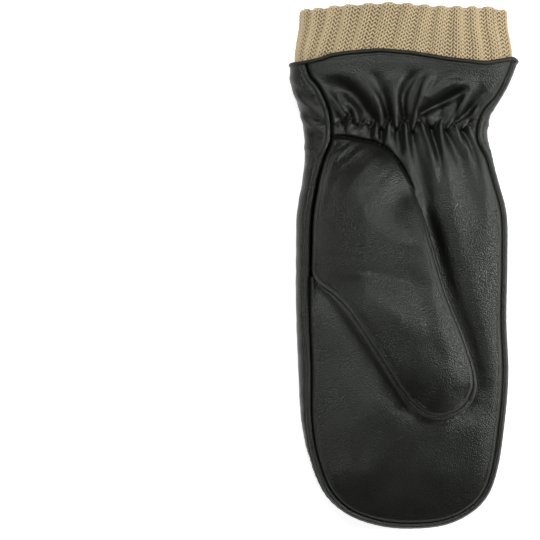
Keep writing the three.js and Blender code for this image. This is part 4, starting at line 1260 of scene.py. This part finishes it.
def path_mesh(name, points, edges, painted_light=None):
    """A mesh of bare edges, for the knit with its points' painted light and shade."""
    mesh = bpy.data.meshes.new(name)
    mesh.from_pydata((points * MM).tolist(), edges.tolist(), [])
    if painted_light is not None:
        keep_painted_light(mesh, painted_light)
    return mesh


def add_node(tree, kind, settings=None, **inputs):
    """Adds a node with its settings; each input is a value or the socket that feeds it."""
    node = tree.nodes.new(kind)
    for name, value in (settings or {}).items():
        setattr(node, name, value)
    for name, value in inputs.items():
        socket = node.inputs[int(name[1:])] if name[1:].isdigit() else node.inputs[name.replace("_", " ")]
        if isinstance(value, bpy.types.NodeSocket):
            tree.links.new(value, socket)
        else:
            socket.default_value = value
    return node


def new_geometry_tree(name, inputs):
    """A geometry tree with a geometry input, further inputs (name: socket kind) and one output."""
    tree = bpy.data.node_groups.new(name, "GeometryNodeTree")
    tree.interface.new_socket("Geometry", in_out="OUTPUT", socket_type="NodeSocketGeometry")
    tree.interface.new_socket("Geometry", in_out="INPUT", socket_type="NodeSocketGeometry")
    for input_name, kind in inputs.items():
        tree.interface.new_socket(input_name, in_out="INPUT", socket_type=kind)
    return tree, tree.nodes.new("NodeGroupInput").outputs


def close_geometry_tree(tree, geometry, material):
    """Ends a geometry tree: instances realized, smooth, one material."""
    realized = add_node(tree, "GeometryNodeRealizeInstances", Geometry=geometry)
    smooth = add_node(tree, "GeometryNodeSetShadeSmooth", Geometry=realized.outputs[0])
    painted = add_node(tree, "GeometryNodeSetMaterial", Geometry=smooth.outputs[0], Material=material)
    add_node(tree, "NodeGroupOutput", Geometry=painted.outputs[0])
    return tree


def yarn_tree():
    """Sweeps a round yarn along every edge path and keeps where each point is along and round it."""
    tree, given = new_geometry_tree(
        "Yarn along a path",
        {"Radius": "NodeSocketFloat", "Sides": "NodeSocketInt", "Material": "NodeSocketMaterial"},
    )
    path = add_node(tree, "GeometryNodeMeshToCurve", Mesh=given["Geometry"])
    place = add_node(tree, "GeometryNodeSplineParameter")
    marked = add_node(
        tree,
        "GeometryNodeStoreNamedAttribute",
        {"data_type": "FLOAT", "domain": "POINT"},
        Geometry=path.outputs[0],
        Name="along",
        Value=place.outputs["Length"],
    )
    circle = add_node(
        tree,
        "GeometryNodeCurvePrimitiveCircle",
        Resolution=given["Sides"],
        Radius=given["Radius"],
    )
    position = add_node(tree, "GeometryNodeInputPosition")
    ring = add_node(
        tree,
        "GeometryNodeStoreNamedAttribute",
        {"data_type": "FLOAT_VECTOR", "domain": "POINT"},
        Geometry=circle.outputs[0],
        Name="around",
        Value=position.outputs[0],
    )
    swept = add_node(tree, "GeometryNodeCurveToMesh", Curve=marked.outputs[0], Profile_Curve=ring.outputs[0])
    return close_geometry_tree(tree, swept.outputs[0], given["Material"])


def stitch_tree():
    """Lays short rounded stitches along every edge path."""
    tree, given = new_geometry_tree(
        "Stitches along a path",
        {
            "Spacing": "NodeSocketFloat",
            "Length": "NodeSocketFloat",
            "Radius": "NodeSocketFloat",
            "Material": "NodeSocketMaterial",
        },
    )
    path = add_node(tree, "GeometryNodeMeshToCurve", Mesh=given["Geometry"])
    spots = add_node(
        tree,
        "GeometryNodeResampleCurve",
        {"mode": "LENGTH"},
        Curve=path.outputs[0],
        Length=given["Spacing"],
    )
    tangent = add_node(tree, "GeometryNodeInputTangent")
    aim = add_node(tree, "FunctionNodeAlignRotationToVector", {"axis": "X"}, Vector=tangent.outputs[0])
    bead = add_node(tree, "GeometryNodeMeshUVSphere", Segments=8, Rings=6, Radius=1.0)
    half = add_node(tree, "ShaderNodeMath", {"operation": "MULTIPLY"}, _0=given["Length"], _1=0.5)
    size = add_node(tree, "ShaderNodeCombineXYZ", X=half.outputs[0], Y=given["Radius"], Z=given["Radius"])
    laid = add_node(
        tree,
        "GeometryNodeInstanceOnPoints",
        Points=spots.outputs[0],
        Instance=bead.outputs[0],
        Rotation=aim.outputs[0],
        Scale=size.outputs[0],
    )
    return close_geometry_tree(tree, laid.outputs[0], given["Material"])


def grown(name, mesh, tree, values):
    """A plain piece made by running a path mesh through a geometry tree."""
    seed = bpy.data.objects.new(name + "_path", mesh)
    bpy.context.scene.collection.objects.link(seed)
    modifier = seed.modifiers.new(tree.name, "NODES")
    modifier.node_group = tree
    for item in tree.interface.items_tree:
        if item.item_type == "SOCKET" and item.in_out == "INPUT" and item.name in values:
            modifier[item.identifier] = values[item.name]
    graph = bpy.context.evaluated_depsgraph_get()
    made = bpy.data.meshes.new_from_object(
        seed.evaluated_get(graph), preserve_all_data_layers=True, depsgraph=graph
    )
    made.name = name
    bpy.data.objects.remove(seed)
    return place_piece(bpy.data.objects.new(name, made))


def build_yarn(sizes, material):
    tree = yarn_tree()
    values = {"Radius": sizes.yarn / 2, "Sides": 6, "Material": material}
    half = COURSES // 2
    for name, first, last in (("knit_yarn_mouth", 0, half), ("knit_yarn_wrist", half, COURSES)):
        path = yarn_path(first, last, sizes.yarn / MM / 2)
        grown(name, path_mesh(name, *path), tree, values)


# The stitch rows: how deep the thumb's two lie in their seams, how far the row under the binding lies
# from the leather's edge, how far it reaches across, how high it lies, and the pitch in stitches
BASE_STITCHES_SUNK, FREE_STITCHES_SUNK = 0.35, 0.75
WRIST_STITCHES_INSET, WRIST_STITCHES_REACH, WRIST_STITCHES_LIFT = 1.3, 48, 0.05
STITCH_PITCH = 1.3


def stitch_paths():
    """The paths of the visible stitch rows, each a row of points on the leather."""
    sides = thumb_sides()
    base = sides["top"].at(np.linspace(0.02, 0.99, 90))
    base[:, 2] -= BASE_STITCHES_SUNK
    _, seam, share_down = free_side_paths(sides)
    seam[:, 2] += thumb_swell(seam[:, :2], sides, share_down) - FREE_STITCHES_SUNK
    x = np.linspace(-WRIST_STITCHES_REACH, WRIST_STITCHES_REACH, 140)
    wrist_row = np.column_stack([x, wrist_edge(x, 1) - WRIST_STITCHES_INSET])
    wrist_row = palm_skin(wrist_row, fine=False)[0] + (0, 0, WRIST_STITCHES_LIFT)
    return [base, seam[::2], wrist_row]


def build_stitches(sizes, material):
    points, edges, base = [], [], 0
    for path in stitch_paths():
        n = np.arange(len(path) - 1) + base
        edges.append(np.stack([n, n + 1], axis=1))
        points.append(path)
        base += len(path)
    mesh = path_mesh("seam_stitches", np.vstack(points), np.vstack(edges))
    values = {
        "Spacing": sizes.stitch * STITCH_PITCH,
        "Length": sizes.stitch,
        "Radius": sizes.thread / 2,
        "Material": material,
    }
    grown("seam_stitches", mesh, stitch_tree(), values)


def linear(colour):
    """An sRGB hex colour as linear red, green, blue and full cover."""
    parts = [int(colour[k : k + 2], 16) / 255 for k in (1, 3, 5)]
    return (*[p / 12.92 if p <= 0.04045 else ((p + 0.055) / 1.055) ** 2.4 for p in parts], 1.0)


def new_material(name):
    material = bpy.data.materials.new(name)
    material.use_nodes = True
    material.node_tree.nodes.clear()
    return material, material.node_tree


def mixed(tree, share, dark, light):
    """A colour between two, by a share from 0 to 1."""
    node = add_node(tree, "ShaderNodeMix", {"data_type": "RGBA"}, _0=share, _6=dark, _7=light)
    return node.outputs[2]


def waves_per_metre(millimetres):
    return 1 / (millimetres * MM)


def leather_material(name, dark, light, roughness):
    """Drum-dyed lamb nappa with a semi-aniline finish: a fine pebble grain breaks its satin sheen into
    small glints, and soft draw creases and a slow drift of tone keep it from looking moulded."""
    PEBBLE, PORE, DRIFT = 0.65, 0.4, 17
    CREASE_WIDTHS = (1.1, 3.8, 2.0)
    material, tree = new_material(name)
    place = add_node(tree, "ShaderNodeTexCoord").outputs["Object"]
    cells = add_node(
        tree,
        "ShaderNodeTexVoronoi",
        {"feature": "F1"},
        Vector=place,
        Scale=waves_per_metre(PEBBLE),
    )
    drift = add_node(tree, "ShaderNodeTexNoise", Vector=place, Scale=waves_per_metre(DRIFT), Detail=4.0)
    fine = add_node(tree, "ShaderNodeTexNoise", Vector=place, Scale=waves_per_metre(PORE), Detail=3.0)
    slant = add_node(
        tree,
        "ShaderNodeMapping",
        Vector=place,
        Rotation=(0, 0, 0.75),
        Scale=[waves_per_metre(width) for width in CREASE_WIDTHS],
    )
    creases = add_node(
        tree, "ShaderNodeTexNoise", Vector=slant.outputs[0], Scale=1.0, Detail=5.0, Distortion=0.6
    )
    gloss = add_node(
        tree,
        "ShaderNodeMapRange",
        Value=drift.outputs[0],
        From_Min=0.3,
        From_Max=0.7,
        To_Min=roughness - 0.05,
        To_Max=roughness + 0.07,
    )
    dents = add_node(
        tree, "ShaderNodeBump", Height=creases.outputs[0], Strength=0.06, Distance=0.3 * MM
    )
    pebbles = add_node(
        tree,
        "ShaderNodeBump",
        {"invert": True},
        Height=cells.outputs[0],
        Strength=0.8,
        Distance=0.21 * MM,
        Normal=dents.outputs[0],
    )
    pores = add_node(
        tree,
        "ShaderNodeBump",
        Height=fine.outputs[0],
        Strength=0.5,
        Distance=0.1 * MM,
        Normal=pebbles.outputs[0],
    )
    surface = add_node(
        tree,
        "ShaderNodeBsdfPrincipled",
        Base_Color=mixed(tree, drift.outputs[0], dark, light),
        Roughness=gloss.outputs[0],
        Normal=pores.outputs[0],
        Specular_IOR_Level=0.5,
        Specular_Tint=linear("#fafff7"),
    )
    add_node(tree, "ShaderNodeOutputMaterial", Surface=surface.outputs[0])
    return material


def yarn_material(name, dark, light):
    """Two-ply merino and acrylic yarn, spun and knitted: the plies' twist and a halo of fibres scatter the
    light, so the knit looks matt and warm. The darker hollows between its loops are painted shade, from each
    point's painted light."""
    TWIST, FIBRE, HEATHER = 1.1, 0.36, 1.1
    material, tree = new_material(name)
    place = add_node(tree, "ShaderNodeTexCoord").outputs["Object"]
    along = add_node(tree, "ShaderNodeAttribute", {"attribute_name": "along"})
    around = add_node(tree, "ShaderNodeAttribute", {"attribute_name": "around"})
    near = add_node(tree, "ShaderNodeAttribute", {"attribute_name": "painted_light"})
    parts = add_node(tree, "ShaderNodeSeparateXYZ", Vector=around.outputs["Vector"])
    angle = add_node(
        tree, "ShaderNodeMath", {"operation": "ARCTAN2"}, _0=parts.outputs[1], _1=parts.outputs[0]
    )
    plies_round = add_node(tree, "ShaderNodeMath", {"operation": "MULTIPLY"}, _0=angle.outputs[0], _1=2.0)
    turns = add_node(
        tree,
        "ShaderNodeMath",
        {"operation": "MULTIPLY_ADD"},
        _0=along.outputs["Fac"],
        _1=2 * math.pi * waves_per_metre(TWIST),
        _2=plies_round.outputs[0],
    )
    ply = add_node(tree, "ShaderNodeMath", {"operation": "SINE"}, _0=turns.outputs[0])
    fuzz = add_node(tree, "ShaderNodeTexNoise", Vector=place, Scale=waves_per_metre(FIBRE), Detail=3.0)
    tone = add_node(tree, "ShaderNodeTexNoise", Vector=place, Scale=waves_per_metre(HEATHER), Detail=3.0)
    # Painted light and shade, with a random heather tone, choose the colour between the painted shade and
    # the lit yarn
    lit = add_node(
        tree,
        "ShaderNodeMath",
        {"operation": "MULTIPLY_ADD", "use_clamp": True},
        _0=tone.outputs[0],
        _1=0.3,
        _2=near.outputs["Fac"],
    )
    plies = add_node(tree, "ShaderNodeBump", Height=ply.outputs[0], Strength=0.5, Distance=0.09 * MM)
    fibres = add_node(
        tree,
        "ShaderNodeBump",
        Height=fuzz.outputs[0],
        Strength=0.6,
        Distance=0.12 * MM,
        Normal=plies.outputs[0],
    )
    surface = add_node(
        tree,
        "ShaderNodeBsdfPrincipled",
        Base_Color=mixed(tree, lit.outputs[0], dark, light),
        Roughness=0.9,
        Normal=fibres.outputs[0],
        Sheen_Weight=0.25,
        Sheen_Roughness=0.6,
        Specular_IOR_Level=0.2,
    )
    add_node(tree, "ShaderNodeOutputMaterial", Surface=surface.outputs[0])
    return material


def thread_material(name, colour):
    """Bonded nylon sewing thread: its waxy finish gives each stitch one small soft highlight."""
    FIBRE = 0.25
    material, tree = new_material(name)
    place = add_node(tree, "ShaderNodeTexCoord").outputs["Object"]
    fuzz = add_node(tree, "ShaderNodeTexNoise", Vector=place, Scale=waves_per_metre(FIBRE), Detail=2.0)
    fibres = add_node(tree, "ShaderNodeBump", Height=fuzz.outputs[0], Strength=0.4, Distance=0.05 * MM)
    brighter = [min(1, 1.8 * part) for part in colour]
    surface = add_node(
        tree,
        "ShaderNodeBsdfPrincipled",
        Base_Color=mixed(tree, fuzz.outputs[0], colour, brighter),
        Roughness=0.45,
        Normal=fibres.outputs[0],
    )
    add_node(tree, "ShaderNodeOutputMaterial", Surface=surface.outputs[0])
    return material


def floor_material(name, colour, glow):
    """Matt white background paper, a little self-lit as a light table is, so only soft shadows show."""
    GRAIN = 4.0
    material, tree = new_material(name)
    place = add_node(tree, "ShaderNodeTexCoord").outputs["Object"]
    grain = add_node(tree, "ShaderNodeTexNoise", Vector=place, Scale=waves_per_metre(GRAIN), Detail=2.0)
    tooth = add_node(tree, "ShaderNodeBump", Height=grain.outputs[0], Strength=0.05, Distance=0.05 * MM)
    paper = add_node(
        tree,
        "ShaderNodeBsdfPrincipled",
        Base_Color=colour,
        Roughness=0.9,
        Normal=tooth.outputs[0],
        Emission_Color=linear("#ffffff"),
        Emission_Strength=glow,
    )
    add_node(tree, "ShaderNodeOutputMaterial", Surface=paper.outputs[0])
    return material


def add_softbox(name, place, size, watts):
    """A flat lamp that faces the mitten."""
    light = bpy.data.lights.new(name, "AREA")
    light.shape = "RECTANGLE"
    light.size, light.size_y = size
    light.energy = watts
    lamp = bpy.data.objects.new(name, light)
    lamp.location = place
    lamp.rotation_euler = (-Vector(place)).to_track_quat("-Z", "Y").to_euler()
    bpy.context.scene.collection.objects.link(lamp)


def add_floor(material):
    half = 3
    mesh = bpy.data.meshes.new("floor")
    corners = [(-half, -half, 0), (half, -half, 0), (half, half, 0), (-half, half, 0)]
    mesh.from_pydata(corners, [], [(0, 1, 2, 3)])
    mesh.materials.append(material)
    floor = bpy.data.objects.new("floor", mesh)
    bpy.context.scene.collection.objects.link(floor)


def add_camera():
    """Looks straight down with a long lens; the mitten lies right of the middle, as photographed."""
    lens, sensor = 150, 36
    picture = 540 * MM_PER_PIXEL * MM
    crown = box_mm("palm_panel")[1, 2] * MM
    camera = bpy.data.cameras.new("camera")
    camera.lens = lens
    camera.sensor_width = sensor
    camera.clip_end = 20
    eye = bpy.data.objects.new("camera", camera)
    middle = from_photo({"px": np.array([270.0]), "py": np.array([270.0])})
    eye.location = (middle["x"][0] * MM, middle["y"][0] * MM, picture * lens / sensor + crown / 2)
    bpy.context.scene.collection.objects.link(eye)
    bpy.context.scene.camera = eye


def add_world(strength):
    world = bpy.data.worlds.new("Studio")
    world.use_nodes = True
    backdrop = world.node_tree.nodes["Background"]
    backdrop.inputs["Color"].default_value = linear("#ffffff")
    backdrop.inputs["Strength"].default_value = strength
    bpy.context.scene.world = world


def size_setting(name, description, millimetres):
    return bpy.props.FloatProperty(
        name=name,
        description=description,
        default=millimetres * MM,
        min=0.01 * MM,
        precision=5,
        unit="LENGTH",
    )


def colour_setting(name, description, colour):
    return bpy.props.FloatVectorProperty(
        name=name,
        description=description,
        default=linear(colour),
        size=4,
        min=0,
        max=1,
        subtype="COLOR",
    )


class MittenSizes(bpy.types.PropertyGroup):
    """Sizes that the pieces are made to."""

    leather: size_setting("Leather", "Thickness of the leather with its lining", 1.3)
    yarn: size_setting("Yarn", "Thickness of the cuff's yarn", 0.84)
    stitch: size_setting("Stitch", "Length of one stitch", 2.0)
    thread: size_setting("Thread", "Thickness of the sewing thread", 0.4)


class MittenColours(bpy.types.PropertyGroup):
    """Colours of the mitten's materials."""

    leather_dark: colour_setting("Leather, dark", "The leather's darker tone", "#0c0d0c")
    leather_light: colour_setting("Leather, light", "The leather's lighter tone", "#141512")
    # Painted shade: the yarn's colour where it dips into the knit's hollows
    yarn_painted_shade: colour_setting("Yarn, dark", "The yarn in the knit's hollows", "#664420")
    yarn_light: colour_setting("Yarn, light", "The yarn on top of the knit", "#e0cca4")
    # Painted shade: the colour of the knit ground seen between the loops
    knit_gap_shade: colour_setting("Inner knit", "The shaded knit behind the loops", "#432b12")
    thread: colour_setting("Thread", "The sewing thread", "#0c0c0c")
    floor: colour_setting("Floor", "The background paper", "#fbfbfb")


NAPPA_ROUGHNESS, BINDING_ROUGHNESS = 0.34, 0.4


def shared_material(name, make, *choices):
    """A material by its name, made when it is first asked for."""
    return bpy.data.materials.get(name) or make(name, *choices)


def nappa():
    colours = bpy.context.scene.mitten_colours
    return shared_material(
        "Black nappa leather",
        leather_material,
        colours.leather_dark,
        colours.leather_light,
        NAPPA_ROUGHNESS,
    )


class MITTEN_OT_palm(bpy.types.Operator):
    """Makes the palm panel, gathered at the wrist and open into the thumb."""

    bl_idname = "mitten.palm"
    bl_label = "Palm panel"

    def execute(self, context):
        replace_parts(build_palm(context.scene.mitten_sizes, nappa()), "palm_panel")
        return {"FINISHED"}


class MITTEN_OT_back(bpy.types.Operator):
    """Makes the plain back panel that the mitten lies on."""

    bl_idname = "mitten.back"
    bl_label = "Back panel"

    def execute(self, context):
        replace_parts(build_back(context.scene.mitten_sizes, nappa()), "back_panel")
        return {"FINISHED"}


class MITTEN_OT_gusset(bpy.types.Operator):
    """Makes the side gusset between palm and back, with its welted seam."""

    bl_idname = "mitten.gusset"
    bl_label = "Side gusset"

    def execute(self, context):
        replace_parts(build_gusset(context.scene.mitten_sizes, nappa()), "side_gusset")
        return {"FINISHED"}


class MITTEN_OT_thumb(bpy.types.Operator):
    """Makes the thumb's front and back panels."""

    bl_idname = "mitten.thumb"
    bl_label = "Thumb"

    def execute(self, context):
        sizes = context.scene.mitten_sizes
        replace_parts(build_thumb_front(sizes, nappa()), "thumb_front")
        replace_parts(build_thumb_back(sizes, nappa()), "thumb_back")
        return {"FINISHED"}


class MITTEN_OT_binding(bpy.types.Operator):
    """Makes the rolled binding of the wrist edge."""

    bl_idname = "mitten.binding"
    bl_label = "Edge binding"

    def execute(self, context):
        colours = context.scene.mitten_colours
        leather = shared_material(
            "Black binding leather",
            leather_material,
            colours.leather_dark,
            colours.leather_light,
            BINDING_ROUGHNESS,
        )
        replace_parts(build_binding(context.scene.mitten_sizes, leather), "edge_binding")
        return {"FINISHED"}


class MITTEN_OT_cuff(bpy.types.Operator):
    """Knits the cuff: the folded ground behind, and the loops of yarn over it."""

    bl_idname = "mitten.cuff"
    bl_label = "Rib-knit cuff"

    def execute(self, context):
        colours = context.scene.mitten_colours
        # The knit ground's material: painted shade behind the loops, lit beige inside
        inner = shared_material("Shaded inner knit", yarn_material, colours.knit_gap_shade, colours.yarn_light)
        yarn = shared_material("Beige rib yarn", yarn_material, colours.yarn_painted_shade, colours.yarn_light)
        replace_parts(build_knit_ground(inner), "rib_cuff")
        build_yarn(context.scene.mitten_sizes, yarn)
        return {"FINISHED"}


class MITTEN_OT_stitches(bpy.types.Operator):
    """Sews the stitches along the thumb's seams and the wrist edge."""

    bl_idname = "mitten.stitches"
    bl_label = "Stitches"

    def execute(self, context):
        thread = shared_material("Black sewing thread", thread_material, context.scene.mitten_colours.thread)
        build_stitches(context.scene.mitten_sizes, thread)
        return {"FINISHED"}


class MITTEN_OT_studio(bpy.types.Operator):
    """Sets up the floor, the soft lights and the camera."""

    bl_idname = "mitten.studio"
    bl_label = "Studio"

    def execute(self, context):
        colour = context.scene.mitten_colours.floor
        add_floor(shared_material("White background paper", floor_material, colour, FLOOR_GLOW))
        add_world(WORLD_LIGHT)
        for name, place, size, watts in SOFTBOXES:
            add_softbox(name, place, size, watts)
        add_camera()
        context.scene.view_settings.view_transform = "Standard"
        return {"FINISHED"}


OPERATORS = (
    MITTEN_OT_palm,
    MITTEN_OT_back,
    MITTEN_OT_gusset,
    MITTEN_OT_thumb,
    MITTEN_OT_binding,
    MITTEN_OT_cuff,
    MITTEN_OT_stitches,
    MITTEN_OT_studio,
)


class MITTEN_PT_sidebar(bpy.types.Panel):
    """Lists the mitten's sizes, colours and pieces."""

    bl_idname = "MITTEN_PT_sidebar"
    bl_label = "Mitten"
    bl_space_type = "VIEW_3D"
    bl_region_type = "UI"
    bl_category = "Mitten"

    def draw(self, context):
        for title, group in (("Sizes", MittenSizes), ("Colours", MittenColours)):
            box = self.layout.box()
            box.label(text=title)
            owner = getattr(context.scene, "mitten_" + title.lower())
            for setting in group.__annotations__:
                box.prop(owner, setting)
        for operator in OPERATORS:
            self.layout.operator(operator.bl_idname)


CLASSES = (MittenSizes, MittenColours, *OPERATORS, MITTEN_PT_sidebar)


def register():
    for item in CLASSES:
        bpy.utils.register_class(item)
    bpy.types.Scene.mitten_sizes = bpy.props.PointerProperty(type=MittenSizes)
    bpy.types.Scene.mitten_colours = bpy.props.PointerProperty(type=MittenColours)


def unregister():
    del bpy.types.Scene.mitten_colours
    del bpy.types.Scene.mitten_sizes
    for item in reversed(CLASSES):
        bpy.utils.unregister_class(item)


def main():
    register()
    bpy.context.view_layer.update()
    bpy.ops.mitten.palm()
    bpy.ops.mitten.back()
    bpy.ops.mitten.gusset()
    bpy.ops.mitten.thumb()
    bpy.ops.mitten.binding()
    bpy.ops.mitten.cuff()
    bpy.ops.mitten.stitches()
    bpy.ops.mitten.studio()


if __name__ == "__main__":
    main()
